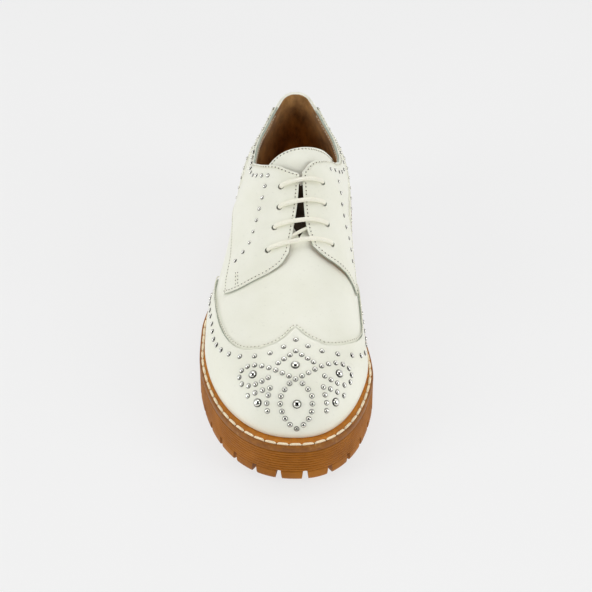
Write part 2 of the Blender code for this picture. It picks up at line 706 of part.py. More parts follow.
def notch_pieces():
    """Wedges that cut the tread's edge into lugs, evenly spaced along the outline from the toe."""
    loop, station = outline_loop()
    length = np.concatenate([[0.0], np.cumsum(np.linalg.norm(np.diff(loop, axis=0), axis=1))])
    toe = length[OUTLINE_STATIONS - 1]
    total = length[-1] + np.linalg.norm(loop[0] - loop[-1])
    pieces = []
    count = round(total / NOTCH_SPACING)
    for k in range(count):
        place = (toe + NOTCH_SHIFT + total / count * (k + 0.5)) % total
        i = min(int(np.searchsorted(length, place, side="right")) - 1, len(loop) - 1)
        j = (i + 1) % len(loop)
        run = loop[j] - loop[i]
        share = (place - length[i]) / np.linalg.norm(run)
        here = station[i] + (station[j] - station[i]) * share
        if ARCH_START - 6.0 < here < ARCH_END + 8.0:
            continue
        along = run / np.linalg.norm(run)
        inward = np.array([-along[1], along[0]])
        place_on_edge = loop[i] + run * share + (AXIS_X, HEEL_Y)
        pieces.append(notch_piece(place_on_edge, along, inward, float(tread_height(here))))
    return pieces


def notch_piece(place, along, inward, floor):
    below, outside = 3.0, 3.0
    flare = (NOTCH_WIDTH - NOTCH_TOP_WIDTH) / 2 * below / NOTCH_HEIGHT
    profile = (
        (-NOTCH_WIDTH / 2 - flare, -below), (NOTCH_WIDTH / 2 + flare, -below),
        (NOTCH_TOP_WIDTH / 2, NOTCH_HEIGHT), (-NOTCH_TOP_WIDTH / 2, NOTCH_HEIGHT),
    )

    def placed(distance):
        return lambda p: (*(place + along * p[0] + inward * distance), floor + p[1])

    return prism(profile, placed(-outside), placed(NOTCH_LENGTH))


def groove_pieces():
    """Bars across the middle of the tread, between the rows of edge lugs."""
    below = 3.0
    pieces = []
    for station in GROOVE_STATIONS:
        close = plan_closing(np.array(station, float))
        left = AXIS_X - section_value("lateral", station) * close * GROOVE_REACH
        right = AXIS_X + section_value("medial", station) * close * GROOVE_REACH
        floor = float(tread_height(np.array(station, float)))
        y = HEEL_Y - station
        profile = (
            (y - GROOVE_WIDTH / 2, floor - below), (y + GROOVE_WIDTH / 2, floor - below),
            (y + GROOVE_WIDTH / 2, floor + GROOVE_DEPTH), (y - GROOVE_WIDTH / 2, floor + GROOVE_DEPTH),
        )
        pieces.append(prism(profile, lambda p, x=left: (x, *p), lambda p, x=right: (x, *p)))
    return pieces


def lace_route():
    """Station, reach, height and radius along the lace: bars over the facings and runs under them."""
    under = (FACING_LIFT + LAYER_CLEAR) / 2
    top = FACING_LIFT + LAYER_CLEAR + OVERLAY
    bend = [(0.0, under, LACE_UNDER_RADIUS)]
    bend += [(share, top + height, radius) for share, height, radius in LACE_BEND]
    bar = bend + [(1 - share, height, radius) for share, height, radius in reversed(bend[:-1])]
    route = []
    for row in reversed(range(len(LACE_ROWS))):
        start = lace_corner(row, LACE_BAR_STARTS[row])
        end = lace_corner(row, -LACE_BAR_STARTS[row])
        route += [(*(start + (end - start) * share), height, radius) for share, height, radius in bar]
        if row:
            following = lace_corner(row - 1, LACE_BAR_STARTS[row - 1])
            for share in LACE_UNDER_SHARES:
                route.append((*(end + (following - end) * share), under, LACE_UNDER_RADIUS))
    return route


def lace_corner(row, side):
    """Station and signed distance from the ridge of a lace hole."""
    first = 0 if side == LATERAL else 2
    station, reach = LACE_ROWS[row][first:first + 2]
    return np.array([station, side * reach])


def make_lace():
    curve = bpy.data.curves.new("lace", "CURVE")
    curve.dimensions = "3D"
    curve.bevel_depth = LACE_BAR_RADIUS * MM
    curve.bevel_resolution = LACE_SIDES_RESOLUTION
    curve.use_fill_caps = True
    route = lace_route()
    spline = curve.splines.new("POLY")
    spline.points.add(len(route) - 1)
    for point, (station, reach, height, radius) in zip(spline.points, route):
        side = MEDIAL if reach > 0 else LATERAL
        angle = side_angle(side, rise_at_reach(side, station, abs(reach)))
        point.co = (*(upper_point(station, angle, height) * MM), 1.0)
        point.radius = radius / LACE_BAR_RADIUS
    curve.materials.append(material("cotton"))
    made = bpy.data.objects.new("lace", curve)
    bpy.context.scene.collection.objects.link(made)


def make_nail(name, station, angle_degrees):
    """A dome nail on the wing cap."""
    angle = math.radians(angle_degrees)
    seat = LAYER_CLEAR + OVERLAY + CLEAR
    foot = upper_point(station, angle, seat)
    axis = upper_point(station, angle, seat + 1.0) - foot
    first = np.cross(axis, (1.0, 0.0, 0.0))
    first /= np.linalg.norm(first)
    second = np.cross(axis, first)
    turns = np.linspace(0, 2 * math.pi, NAIL_SIDES + 1)[:-1]
    points = []
    for ring in range(NAIL_RINGS):
        tilt = FULL_RISE * ring / NAIL_RINGS
        centre = foot + axis * (0.2 + NAIL_HEIGHT * math.sin(tilt))
        radius = NAIL_RADIUS * math.cos(tilt)
        points += [centre + (math.cos(t) * first + math.sin(t) * second) * radius for t in turns]
    points.append(foot + axis * (0.2 + NAIL_HEIGHT))
    tip = len(points) - 1
    faces = ring_faces(NAIL_RINGS, NAIL_SIDES)
    last = (NAIL_RINGS - 1) * NAIL_SIDES
    faces += [[last + i, last + (i + 1) % NAIL_SIDES, tip] for i in range(NAIL_SIDES)]
    faces.append(list(range(NAIL_SIDES))[::-1])
    add_object(name, points, faces, "steel")


def main():
    for existing in list(bpy.data.objects):
        bpy.data.objects.remove(existing)
    make_outsole()
    make_welt()
    make_insole()
    make_upper()
    make_tongue()
    make_wing_cap()
    make_heel_counter()
    make_quarter(LATERAL, "quarter_lateral")
    make_quarter(MEDIAL, "quarter_medial")
    make_lace()
    for number, (station, angle) in enumerate(LARGE_NAILS, start=1):
        make_nail(f"stud_large_{number}", station, angle)


main()
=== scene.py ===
"""Looks of the hobnailed derby, right shoe: leather panels, dome studs, seams, lace, welt and lugged sole.

Sizes are in millimetres and become metres when a mesh is made. The last repeats the one of the part's
source. A place on the upper is given by its station, the distance from the heel end, and by its angle,
which runs from 0 at the feather edge of the lateral side over the ridge to pi on the medial side. A rise
is the same angle counted from the feather edge of either side.
"""

import math

import bmesh
import bpy
import numpy as np
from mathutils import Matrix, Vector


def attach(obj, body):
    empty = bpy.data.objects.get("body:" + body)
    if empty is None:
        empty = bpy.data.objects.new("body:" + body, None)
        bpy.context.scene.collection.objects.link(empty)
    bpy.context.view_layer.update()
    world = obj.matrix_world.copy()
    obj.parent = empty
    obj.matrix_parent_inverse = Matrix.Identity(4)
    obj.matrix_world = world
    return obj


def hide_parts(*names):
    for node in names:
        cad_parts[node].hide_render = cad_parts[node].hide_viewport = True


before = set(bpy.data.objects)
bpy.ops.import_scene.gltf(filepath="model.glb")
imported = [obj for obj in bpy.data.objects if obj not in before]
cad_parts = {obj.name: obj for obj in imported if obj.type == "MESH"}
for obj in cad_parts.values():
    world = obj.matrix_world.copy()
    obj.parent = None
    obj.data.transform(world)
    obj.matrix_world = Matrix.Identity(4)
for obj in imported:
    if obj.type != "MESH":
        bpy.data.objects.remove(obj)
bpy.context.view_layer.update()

MM = 0.001
LATERAL = -1
MEDIAL = 1
SIDES = (LATERAL, MEDIAL)
FULL_RISE = math.pi / 2
TINY = 1e-6

# The photograph's camera: picture size, focal length in pixels, distances in millimetres
PICTURE_SIZE = 592
FOCAL_PIXELS = 1805.6
SENSOR_WIDTH = 36.0
CAMERA_DISTANCE = 1150.0
CAMERA_ELEVATION = math.radians(39.0)
TARGET_Y, TARGET_Z = -16.5, 45.0

# Driving sizes of the last and the sole, as in the source
LAST_LENGTH = 268.5
WELT_AT_HEEL = 4.0
WELT_AT_TOE = 7.0
HEEL_CLOSE, HEEL_POWER = 42.0, 2.2
TOE_CLOSE, TOE_POWER = 88.0, 2.35
TOE_PROFILE_CLOSE, TOE_PROFILE_POWER = 34.0, 2.1
HEEL_PROFILE_CLOSE, HEEL_PROFILE_POWER = 6.0, 2.0
TUCK, TUCK_HEIGHT = 1.6, 4.0
HEEL_BULGE, HEEL_BULGE_TOP = 2.4, 0.9
HEEL_LEAN, HEEL_LEAN_HEIGHT, HEEL_LEAN_LENGTH = 9.0, 60.0, 80.0
HEEL_LEAN_FOOT, HEEL_LEAN_POWER, HEEL_FADE_POWER = 0.3, 1.6, 1.5
CLEAR = 0.3
WELT_THICK = 5.5
INSOLE_THICK = 6.2
FACING_LIFT = 2.2
FACING_LIFT_REACH = (34.0, 22.0)
FACING_LIFT_TOP = (96.0, 112.0)
FACING_LIFT_FRONT = (158.0, 173.0)

# The last's sections: half widths from the toe's axis, ridge position, and squareness of the arch
SECTION_COLUMNS = ("station", "lateral", "medial", "ridge_x", "ridge_z", "power")
SIDE_COLUMNS = {LATERAL: "lateral", MEDIAL: "medial"}
SECTIONS = (
    (0.0, 34.0, 33.0, -0.5, 113.0, 2.10),
    (40.0, 36.5, 35.0, -0.5, 113.0, 2.10),
    (60.0, 38.3, 35.3, 0.0, 114.5, 2.10),
    (80.0, 40.5, 35.0, 1.5, 118.5, 2.10),
    (100.0, 44.0, 35.0, 2.8, 120.5, 2.05),
    (118.0, 47.5, 36.5, 3.0, 109.3, 1.97),
    (140.0, 52.0, 39.5, 2.5, 95.5, 1.95),
    (165.0, 56.0, 41.5, 1.0, 82.6, 2.00),
    (190.0, 56.3, 43.0, 0.0, 73.8, 2.10),
    (212.0, 55.0, 45.0, -0.5, 67.0, 2.20),
    (237.0, 52.5, 44.0, -0.5, 60.5, 2.35),
    (LAST_LENGTH, 48.0, 42.5, -0.5, 53.0, 2.40),
)

# Heights along the length, as station and height
FEATHER_HEIGHT = (
    (0, 41.0), (45, 40.0), (90, 35.0), (130, 30.5), (180, 28.0), (225, 28.6), (LAST_LENGTH, 31.0),
)
TOPLINE_HEIGHT = (
    (3, 106.6), (4, 104.9), (5, 103.5), (6, 102.5), (8, 100.8), (13, 96.8), (22, 91.0), (35, 87.0),
    (48, 86.0), (65, 88.5), (75, 94.5), (85, 100.5), (95, 106.5), (102, 110.5), (108, 113.5), (116, 112.0),
)
HEEL_RIM_STATIONS = np.linspace(3.0, 5.0, 17)

# How far the collar draws in, as station and share of the half width; it starts and ends at these heights
COLLAR_PINCH_HEIGHT = (12.0, 50.0)
COLLAR_PINCH = {
    LATERAL: ((0, 0.10), (6, 0.16), (13, 0.22), (22, 0.225), (35, 0.17), (48, 0.125), (62, 0.10), (85, 0.0)),
    MEDIAL: ((0, 0.10), (6, 0.14), (13, 0.19), (22, 0.18), (35, 0.11), (48, 0.04), (62, -0.01), (85, 0.0)),
}

# Widths along the length, as station and width
WELT_WIDTH = {
    LATERAL: ((0, WELT_AT_HEEL), (60, 2.6), (110, 2.6), (165, 4.2), (215, 4.4), (LAST_LENGTH, WELT_AT_TOE)),
    MEDIAL: (
        (0, WELT_AT_HEEL), (60, 2.6), (110, 2.4), (140, 2.1), (172, 2.2), (194, 4.0), (215, 4.4),
        (LAST_LENGTH, WELT_AT_TOE),
    ),
}
THROAT_SLOT = ((85, 30.0), (105, 24.0), (120, 15.0), (135, 9.0), (150, 0.0))
FACING_GAP = {
    LATERAL: ((108, 0.6), (116, 0.9), (131, 1.9), (144, 3.6), (160, 5.6)),
    MEDIAL: ((108, 0.6), (116, 0.9), (131, 1.9), (144, 3.8), (155.5, 8.4)),
}

# Edges of the overlays, as rise in degrees and station, or station and rise
WING_EDGE = {
    LATERAL: (
        (0, 120.0), (10, 132.0), (17, 145.0), (25, 161.5), (30, 178.0), (36, 195.5), (41, 207.0),
        (47, 215.3), (58, 222.2), (68, 224.0), (77, 222.2), (83, 219.0), (90, 210.8),
    ),
    MEDIAL: (
        (0, 120.0), (8, 138.0), (12, 150.0), (15, 165.0), (17, 178.0), (21, 190.0), (29, 200.5),
        (37.5, 208.0), (48, 214.7), (58, 219.0), (68, 221.2), (81, 217.9), (90, 210.8),
    ),
}
COUNTER_EDGE = ((8, 66), (11, 56), (16, 44), (24, 35), (36, 28), (52, 22.5), (70, 16), (84, 8), (90, 0))
QUARTER_LOW_EDGE = {
    LATERAL: ((60, 18.0), (80, 20.0), (100, 25.5), (115, 30.4), (130, 35.0), (150, 38.0), (170, 38.0)),
    MEDIAL: ((60, 18.0), (80, 19.0), (110, 22.5), (160.5, 24.5)),
}
QUARTER_FRONT_EDGE = {
    LATERAL: ((38, 170.0), (45, 173.0), (53, 174.3), (68, 172.4), (76, 169.5), (81, 166.0), (84.5, 160.0)),
    MEDIAL: (
        (24.5, 160.5), (31, 157.8), (40, 158.3), (50, 159.8), (57, 160.1), (65, 159.7), (70, 158.8),
        (77.8, 155.5),
    ),
}
# How far the facing's top edge stands above the collar's line, as station and degrees
FACING_RAISE = {
    LATERAL: ((80, 0.0), (104, 0.3), (109, 1.6), (112, 1.6), (116, 0.0)),
    MEDIAL: ((80, 0.0), (93, 3.9), (102, 6.6), (106, 8.2), (108.5, 8.0), (111, 6.4), (116, 0.0)),
}

# The four lace rows from top to bottom: lateral station and distance from the ridge, then the medial ones
LACE_ROWS = (
    (120.2, 11.3, 115.2, 11.5),
    (131.9, 12.0, 127.2, 12.6),
    (143.5, 14.6, 138.7, 14.7),
    (157.0, 17.8, 149.3, 18.1),
)
LACE_BAR_STARTS = (MEDIAL, LATERAL, MEDIAL, MEDIAL)
LACE_HOLE_RADIUS, LACE_HOLE_SPARE, LACE_HOLE_SIDES = 2.0, 1.5, 24

# The tongue's top edge, as angle in degrees and station
TONGUE_TOP = (
    (58, 103.0), (63, 98.4), (70, 94.9), (79, 92.8), (88, 91.2), (98, 89.0), (111, 83.2), (124.4, 74.2),
    (130, 70.7), (136, 67.0),
)
TONGUE_BASE_STATION = 163.0
TONGUE_BASE_ANGLES = (66.0, 116.0)
TONGUE_DEPTH = ((77, 2.2), (97, 2.3), (103, 2.8), (163, 2.7))

# Tread of the sole
TOE_SPRING, TOE_SPRING_START = 3.0, 205.0
NOTCH_SPACING, NOTCH_HEIGHT, NOTCH_WIDTH, NOTCH_TOP_WIDTH, NOTCH_LENGTH = 15.9, 7.5, 4.2, 2.6, 13.0
NOTCH_SHIFT = -2.5
GROOVE_DEPTH, GROOVE_WIDTH = 5.0, 4.0
GROOVE_STATIONS = (20, 40, 60, 145, 162, 179, 196, 213, 230)
GROOVE_REACH = 0.42
CUT_BELOW, CUT_OUTSIDE, NOTCH_CHAMFER = 3.0, 3.0, 0.8
ARCH_START, ARCH_END, ARCH_HEIGHT, ARCH_SLOPE = 80.0, 126.0, 9.0, 7.0
ARCH_BREAST, ARCH_FLARE, ARCH_BELOW, ARCH_SIDE = 2.0, 0.6, -5.0, 90.0
ARCH_CLEAR = (6.0, 8.0)
RIB_COUNT, RIB_PITCH, RIB_DEPTH = 14, 1.93, 0.75
RIB_PROFILE = ((0.0, 1.0), (0.1, 0.5), (0.25, 0.12), (0.5, 0.0), (0.75, 0.12), (0.9, 0.5))
RIB_FOOT, RIB_STACK = (4.6, 6.4), 0.01

# The sole's top and foot: inset, and for the foot its height over the tread
SOLE_TOP_INSET = 0.35
SOLE_FOOT = ((0.0, 2.4), (0.25, 1.2), (0.7, 0.4), (1.5, 0.0))

# The welt's top and edge: share of the stitch's inset, inset added to it, depth under the top
WELT_PROFILE = (
    (1.0, 1.3, 0.0), (1.0, 0.95, 0.1), (1.0, 0.57, 0.6), (1.0, 0.0, 0.8), (1.0, -0.57, 0.6),
    (1.0, -0.95, 0.15), (0.42, -0.25, 0.3), (0.22, -0.2, 0.75), (0.08, -0.15, 1.5), (0.0, -0.05, 2.6),
    (0.0, 0.0, 4.0), (0.0, 0.3, WELT_THICK - CLEAR),
)
WELT_SMOOTH_LEVELS, WELT_UNDER_UPPER = 7, 1.0

# The six large studs of the toe pattern: station and angle in degrees
LARGE_STUDS = ((237.5, 90.0), (240.0, 57.0), (237.5, 130.5), (255.0, 48.0), (253.0, 141.0), (258.5, 91.0))
LARGE_STUD_RADIUS, LARGE_STUD_SIDES = 2.45, 32
TOE_STUD_RADIUS, TOE_STUD_SIDES = 1.52, 20
QUARTER_STUD_RADIUS, QUARTER_STUD_SIDES = 1.27, 18
STUD_SINK, STUD_TURN = 0.05, (0.31, 0.95, 0.0)

# Leather thicknesses: gap to the layer below, then thickness
VAMP_WALL = 0.9
LINING_GAP, LINING_WALL = 0.05, 1.0
LINING_EDGE_SHARE, LINING_TAPER = 0.3, (0.0, 5.0)
WING_GAP, WING_LEATHER = 0.1, 1.4
QUARTER_GAP, QUARTER_LEATHER = 0.3, 1.4
COUNTER_GAP, COUNTER_LEATHER = 0.3, 2.0
WING_TOP, QUARTER_TOP = WING_GAP + WING_LEATHER, QUARTER_GAP + QUARTER_LEATHER
COUNTER_FACE = COUNTER_GAP + COUNTER_LEATHER
TONGUE_WALL = 2.2
EDGE_ROUNDING = 0.7
EDGE_SHARE = 0.6
COLLAR_SHARE, COLLAR_SKIVE = 0.4, (0.0, 6.0)

# Seams
STITCH_PITCH, STITCH_LENGTH, STITCH_RADIUS = 2.5, 1.9, 0.28
SEAM_INSET = 1.6
TONGUE_SEAM_INSET = 2.6
COLLAR_SEAM_STATIONS, COLLAR_SEAM_DEPTH, COLLAR_SEAM_SHARE = (14.0, 98.0), 2.0, 0.6
WING_SEAM_PEAK, WING_SEAM_SKIPPED, TONGUE_SEAM_SKIPPED = 0.8, 12, 6
COUNTER_SEAM_START = 12.0

# A quarter's seams: the grid's top, front and low line, and the side on which the stitches lie
QUARTER_SEAMS = ((np.s_[-1, 14:-3], 1), (np.s_[3:-3, -1], -1), (np.s_[0, 60:-3], -1))
NEEDLE_HOLE_RADIUS, TONGUE_HOLE_RADIUS = 0.42, 0.68
WELT_STITCH_PITCH, WELT_STITCH_LENGTH, WELT_STITCH_RADIUS = 7.5, 6.6, 0.78
WELT_STITCH_INSET, WELT_STITCH_SHARE = 1.9, 0.62
WELT_STITCH_DEPTH, WELT_STITCH_RISE, WELT_STITCH_DIP = 0.35, 0.35, 0.75
WELT_STITCH_TAPER, WELT_STITCH_POWER = 0.35, 6
AWL_HOLE_RADIUS, AWL_HOLE_DEPTH = 0.5, 0.25
STITCH_RISE, STITCH_DIP, STITCH_TAPER, STITCH_POWER = 0.12, 0.45, 0.4, 4
STITCH_RINGS, STITCH_SIDES = 7, 6
WELT_STITCH_RINGS, WELT_STITCH_SIDES = 9, 10
SEAM_POINTS, COLLAR_SEAM_POINTS, TACK_POINTS = 300, 200, 20
HOLE_SIDES, HOLE_RIM, HOLE_BOTTOM, HOLE_TOP = 8, 0.05, -0.4, 0.03

# Scene details that the source doesn't have
FACING_DROOP = 1.2
FACING_DROOP_REACH = (11.0, 1.0)
QUARTER_BACK = 11.0
QUARTER_UNDERLAP = 3.0
COLLAR_FOLD, COLLAR_SLACK = 4.0, 0.01
# Station from which the tongue's outside takes a near-black brown, painted shade for the throat gap
TONGUE_SHADE_FROM = 117.0
FOOTBED_DISH, FOOTBED_CLEAR = 1.0, 2.0
VAMP_BACK, VAMP_DROP, LINING_DROP = 40.0, 4.0, 0.2

# Points along and across the grids, and how they crowd
OUTLINE_STATIONS, SOURCE_OUTLINE_STATIONS = 190, 35
VAMP_GRID, LINING_GRID, COUNTER_GRID = (190, 64), (170, 44), (130, 50)
QUARTER_GRID, TONGUE_GRID, FOOTBED_GRID = (210, 64), (70, 80), (120, 40)
TONGUE_SEAM_GRID = (160, 80)
VAMP_CROWD, LINING_CROWD, EDGE_CROWD, HEEL_CROWD, TONGUE_CROWD = 1.3, 1.5, 1.8, 1.6, 1.6
WING_STEP, TOOTH_STEP, TOE_ROWS = 1.6, 0.3, 60
WING_COLUMNS, TOOTH_COLUMNS = 50, 20
WING_LINE, TOOTH_LINE, COUNTER_LINE = 260, 120, 400
SHARP_ANGLE, LACE_SHARP_ANGLE = 38.0, 60.0

# Search for a place of the photograph on the upper: grid, angle left out, pixels, depth in millimetres
SEARCH_GRID, SEARCH_MARGIN = (420, 300), 0.03
SEARCH_PIXELS, SEARCH_SLACK, SEARCH_DEPTH = 1.2, 0.1, 6.0
SEARCH_ROUNDS, SEARCH_GRAZING, SEARCH_STEP = 3, -0.3, 1.0
STUD_CURVE_POINTS = 60

# The lace's bend out of a hole: share of the bar's length, height over the facing, radius
LACE_RADIUS = 1.4
LACE_UNDER_RADIUS = 1.1
LACE_BEND = (
    (0.012, -0.7, 1.3),
    (0.017, 0.5, 1.35),
    (0.05, 1.15, LACE_RADIUS),
    (0.10, 1.35, LACE_RADIUS),
    (0.20, 1.35, LACE_RADIUS),
    (0.35, 0.85, LACE_RADIUS),
    (0.50, 0.35, LACE_RADIUS),
)
LACE_UNDER_SHARES = (0.12, 0.35, 0.65, 0.88)
LACE_RING_PITCH, LACE_SIDES = 0.4, 28
BRAID_PITCH, BRAID_STRANDS, BRAID_DEPTH = 2.6, 16, 0.07

# A dome nail head, as shares of its radius: distance from its axis, height
DOME_PROFILE = (
    (1.0, -0.25), (1.07, 0.02), (1.05, 0.10), (0.98, 0.15), (0.91, 0.20), (0.87, 0.32), (0.82, 0.46),
    (0.73, 0.60), (0.60, 0.715), (0.43, 0.795), (0.215, 0.835),
)
DOME_TOP = 0.843
# Rings from the foot that take the near-black colour of painted shade and painted reflection
DOME_RIM_RINGS = 5

# Curves of small studs in the photograph: count, studs left out at the start, listed picture points
TOE_STUD_CURVES = (
    (12, 0, ((295.8, 339.6), (283.6, 346.7), (270, 353), (254.5, 356.1), (239.8, 356.5), (229, 354.1),
             (221, 350), (216.5, 345), (213.8, 339.3), (212.5, 331.5), (212, 324), (210.8, 316.2))),
    (7, 1, ((295.8, 339.6), (308, 346), (322, 351), (337.7, 354), (352, 355.3), (361, 355.7), (364.8, 353))),
    (4, 0, ((295.8, 351), (278.1, 362.9))),
    (4, 1, ((295.8, 351), (313.5, 362))),
    (15, 0, ((295.5, 379.1), (282, 372.8), (268.3, 367.6), (253.6, 365.3), (243, 369), (239.3, 378.4),
             (243, 385.4), (253.2, 384.9), (268.2, 377.5))),
    (15, 1, ((295.5, 379.1), (309.7, 372), (323.4, 365.4), (337.7, 363.2), (348, 367.5), (351.5, 378.4),
             (348, 385), (339.6, 383.8), (324.7, 376))),
    (8, 0, ((289.5, 383.4), (281.1, 395.4), (280.1, 403.5), (281.9, 411.5), (290.4, 425), (296.6, 428.8))),
    (8, 0, ((302.5, 383.4), (311.7, 395.2), (312.4, 403.5), (311.7, 411.5), (303.6, 424.8), (296.6, 428.8))),
    (4, 0, ((270, 388), (261.4, 390.5), (247.6, 395.8))),
    (4, 1, ((270, 388), (268.2, 395.2), (266.7, 403.3), (267.3, 411))),
    (4, 0, ((323.4, 387), (331.7, 389.4), (344, 395.6))),
    (4, 1, ((323.4, 387), (325, 394.8), (326.6, 402.8), (326.6, 410.7))),
)
QUARTER_STUD_CURVES = {
    LATERAL: (
        (8, 0, ((264.7, 186.1), (259.5, 208.2), (253.6, 231.3), (249.7, 242.6), (242.6, 252.5),
                (235.3, 260.8))),
        (9, 0, ((267.7, 175.4), (261.6, 175.6), (256.6, 175.6), (252.9, 175.1), (250.9, 172.4),
                (250.5, 168.4), (251.3, 163), (252.3, 157.7), (253.4, 152))),
    ),
    MEDIAL: (
        (8, 0, ((338.4, 181.8), (342, 204.7), (346.1, 227.7), (349, 239.5), (352.3, 261.1))),
    ),
}

# The bar tack at the lateral quarter's front corner, in the photograph
BAR_TACK_LINES = (((235.5, 273.0), (235.5, 284.0)), ((237.7, 272.5), (237.7, 283.0)))

# Rows of small studs beside an edge: distance from the edge, spacing, first and last station
COLLAR_STUDS = {LATERAL: (4.0, 7.5, 18.0, 46.0), MEDIAL: (6.5, 11.0, 16.0, 98.0)}
WING_STUDS = {LATERAL: (7.0, 8.6, 128.0, 168.0), MEDIAL: (7.0, 9.0, 128.0, 192.0)}
COUNTER_STUDS, COUNTER_STUD_START = (4.6, 8.0, 13.5, 86.0), 10.0

# Light: name, place and target in metres, size in metres, power in watts
FLOOR_GLOW = 0.715
LIGHTS = (
    ("top_light", (0.0, 0.3, 1.5), (0.0, 0.0, 0.0), (1.5, 0.9), 6.0),
    ("left_light", (-1.5, -0.7, 0.9), (0.0, 0.0, 0.05), (0.8, 0.9), 10.5),
    ("right_light", (1.5, -0.7, 0.9), (0.0, 0.0, 0.05), (0.8, 0.9), 10.5),
)
# A fill from the front that the polished studs do not mirror
FILL_LIGHT = ("front_light", (0.0, -1.5, 0.5), (0.0, -0.1, 0.05), (0.9, 0.5), 5.0)

# The studio around: white, with a dark place round the camera; cosine of the angle to the camera, then grey
WORLD_STEPS = ((0.42, 1.0), (0.54, 0.25), (0.66, 0.0))
WORLD_STRENGTH = 0.7
FLOOR_SIZE = 4.0


# Curves from short tables

def cubic(t, width, values, slopes, i):
    """The cubic over span i between two values with their slopes; t runs from 0 to 1 along the span."""
    start = (1 + 2 * t) * (1 - t) ** 2 * values[i] + t * (1 - t) ** 2 * width * slopes[i]
    end = t**2 * (3 - 2 * t) * values[i + 1] + t**2 * (t - 1) * width * slopes[i + 1]
    return start + end


def span_index(knots, x):
    return np.clip(np.searchsorted(knots, x, side="right") - 1, 0, len(knots) - 2)


def smooth(table, x):
    """A monotone cubic through the rows of a table, without overshoot."""
    xs, ys = np.array(table, float).T
    step = np.diff(xs)
    slope = np.diff(ys) / step
    tangent = np.zeros_like(ys)
    tangent[0] = slope[0]
    tangent[-1] = slope[-1]
    same = slope[:-1] * slope[1:] > 0
    first = (2 * step[1:] + step[:-1])[same]
    second = (step[1:] + 2 * step[:-1])[same]
    tangent[1:-1][same] = (first + second) / (first / slope[:-1][same] + second / slope[1:][same])
    x = np.clip(np.asarray(x, float), xs[0], xs[-1])
    i = span_index(xs, x)
    return cubic((x - xs[i]) / step[i], step[i], ys, tangent, i)


def section_value(name, station):
    column = SECTION_COLUMNS.index(name)
    return smooth([(row[0], row[column]) for row in SECTIONS], station)


def ease(low, high, x):
    t = np.clip((x - low) / (high - low), 0, 1)
    return t * t * (3 - 2 * t)


def closing(distance, length, power):
    """Goes from 0 at an end of the last to 1 at the given length from it, along a superellipse."""
    t = np.clip(1 - distance / length, 0, 1)
    return np.maximum(1 - t**power, 0) ** (1 / power)


def end_spaced(count):
    """Shares from 0 to 1, closer together near both ends."""
    return (1 - np.cos(np.linspace(0, math.pi, count))) / 2


def crowded_end(count, power=EDGE_CROWD):
    """Shares from 0 to 1, closer together near 1."""
    return 1 - (1 - np.linspace(0, 1, count)) ** power


def sine_end(count):
    """Shares from 0 to 1 along a quarter of a sine."""
    return np.sin(np.linspace(0, FULL_RISE, count))


def segment_lengths(points):
    return np.linalg.norm(np.diff(points, axis=0), axis=1)


def run_lengths(points):
    """Distance of each point from the first one, along the line."""
    return np.concatenate([[0.0], np.cumsum(segment_lengths(points))])


def curve_length(points):
    return float(segment_lengths(points).sum())


def interpolated(places, length, rows):
    return np.stack([np.interp(places, length, column) for column in rows.T], axis=-1)


def spline_through(points, count):
    """Evenly spaced points on a smooth curve through a few given ones."""
    points = np.asarray(points, float)
    step = segment_lengths(points)
    knots = run_lengths(points)
    padded = np.concatenate([[2 * points[0] - points[1]], points, [2 * points[-1] - points[-2]]])
    spans = np.concatenate([[step[0]], step, [step[-1]]])
    slope = np.diff(padded, axis=0) / spans[:, None]
    blend = (spans[1:] / (spans[1:] + spans[:-1]))[:, None]
    tangent = slope[:-1] * blend + slope[1:] * (1 - blend)
    x = np.linspace(0, knots[-1], count)
    i = span_index(knots, x)
    return cubic(((x - knots[i]) / step[i])[:, None], step[i][:, None], points, tangent, i)


def along_curve(points, places):
    """Points, and unit directions, at given distances along a dense polyline."""
    length = run_lengths(points)
    direction = interpolated(places, length, np.gradient(points, axis=0))
    return interpolated(places, length, points), unit(direction)


def unit(vectors):
    return vectors / np.maximum(np.linalg.norm(vectors, axis=-1, keepdims=True), 1e-12)


# The last

def plan_closing(station):
    heel = closing(station, HEEL_CLOSE, HEEL_POWER)
    return heel * closing(LAST_LENGTH - station, TOE_CLOSE, TOE_POWER)


def feather_height(station):
    return smooth(FEATHER_HEIGHT, station)


def ridge_rise(station):
    """Height of the ridge over the feather edge."""
    full = section_value("ridge_z", station) - feather_height(station)
    toe = closing(LAST_LENGTH - station, TOE_PROFILE_CLOSE, TOE_PROFILE_POWER)
    return full * toe * closing(station, HEEL_PROFILE_CLOSE, HEEL_PROFILE_POWER)


def welt_width(station):
    """The welt's width along the loop of the outline, whose lateral half comes first."""
    half = len(station) // 2 + 1
    halves = ((LATERAL, station[:half]), (MEDIAL, station[half:]))
    return np.concatenate([smooth(WELT_WIDTH[side], stations) for side, stations in halves])


def half_width(side, station):
    return section_value(SIDE_COLUMNS[side], station) * plan_closing(station)


def outline_loop(inset, count):
    """The sole's outline in plan from the heel round the lateral side, moved in by the inset."""
    s = LAST_LENGTH * end_spaced(count)
    lateral, medial = (np.column_stack([side * half_width(side, s), -s]) for side in SIDES)
    points = np.concatenate([lateral, medial[-2:0:-1]])
    station = np.concatenate([s, s[-2:0:-1]])
    tangent = unit(np.roll(points, -1, axis=0) - np.roll(points, 1, axis=0))
    normal = np.column_stack([tangent[:, 1], -tangent[:, 0]])
    width = welt_width(station) - inset
    return points + normal * width[:, None], station


def sole_middle():
    points, _ = outline_loop(0.0, SOURCE_OUTLINE_STATIONS)
    return (points.min(axis=0) + points.max(axis=0)) / 2


AXIS_X, HEEL_Y = -sole_middle()


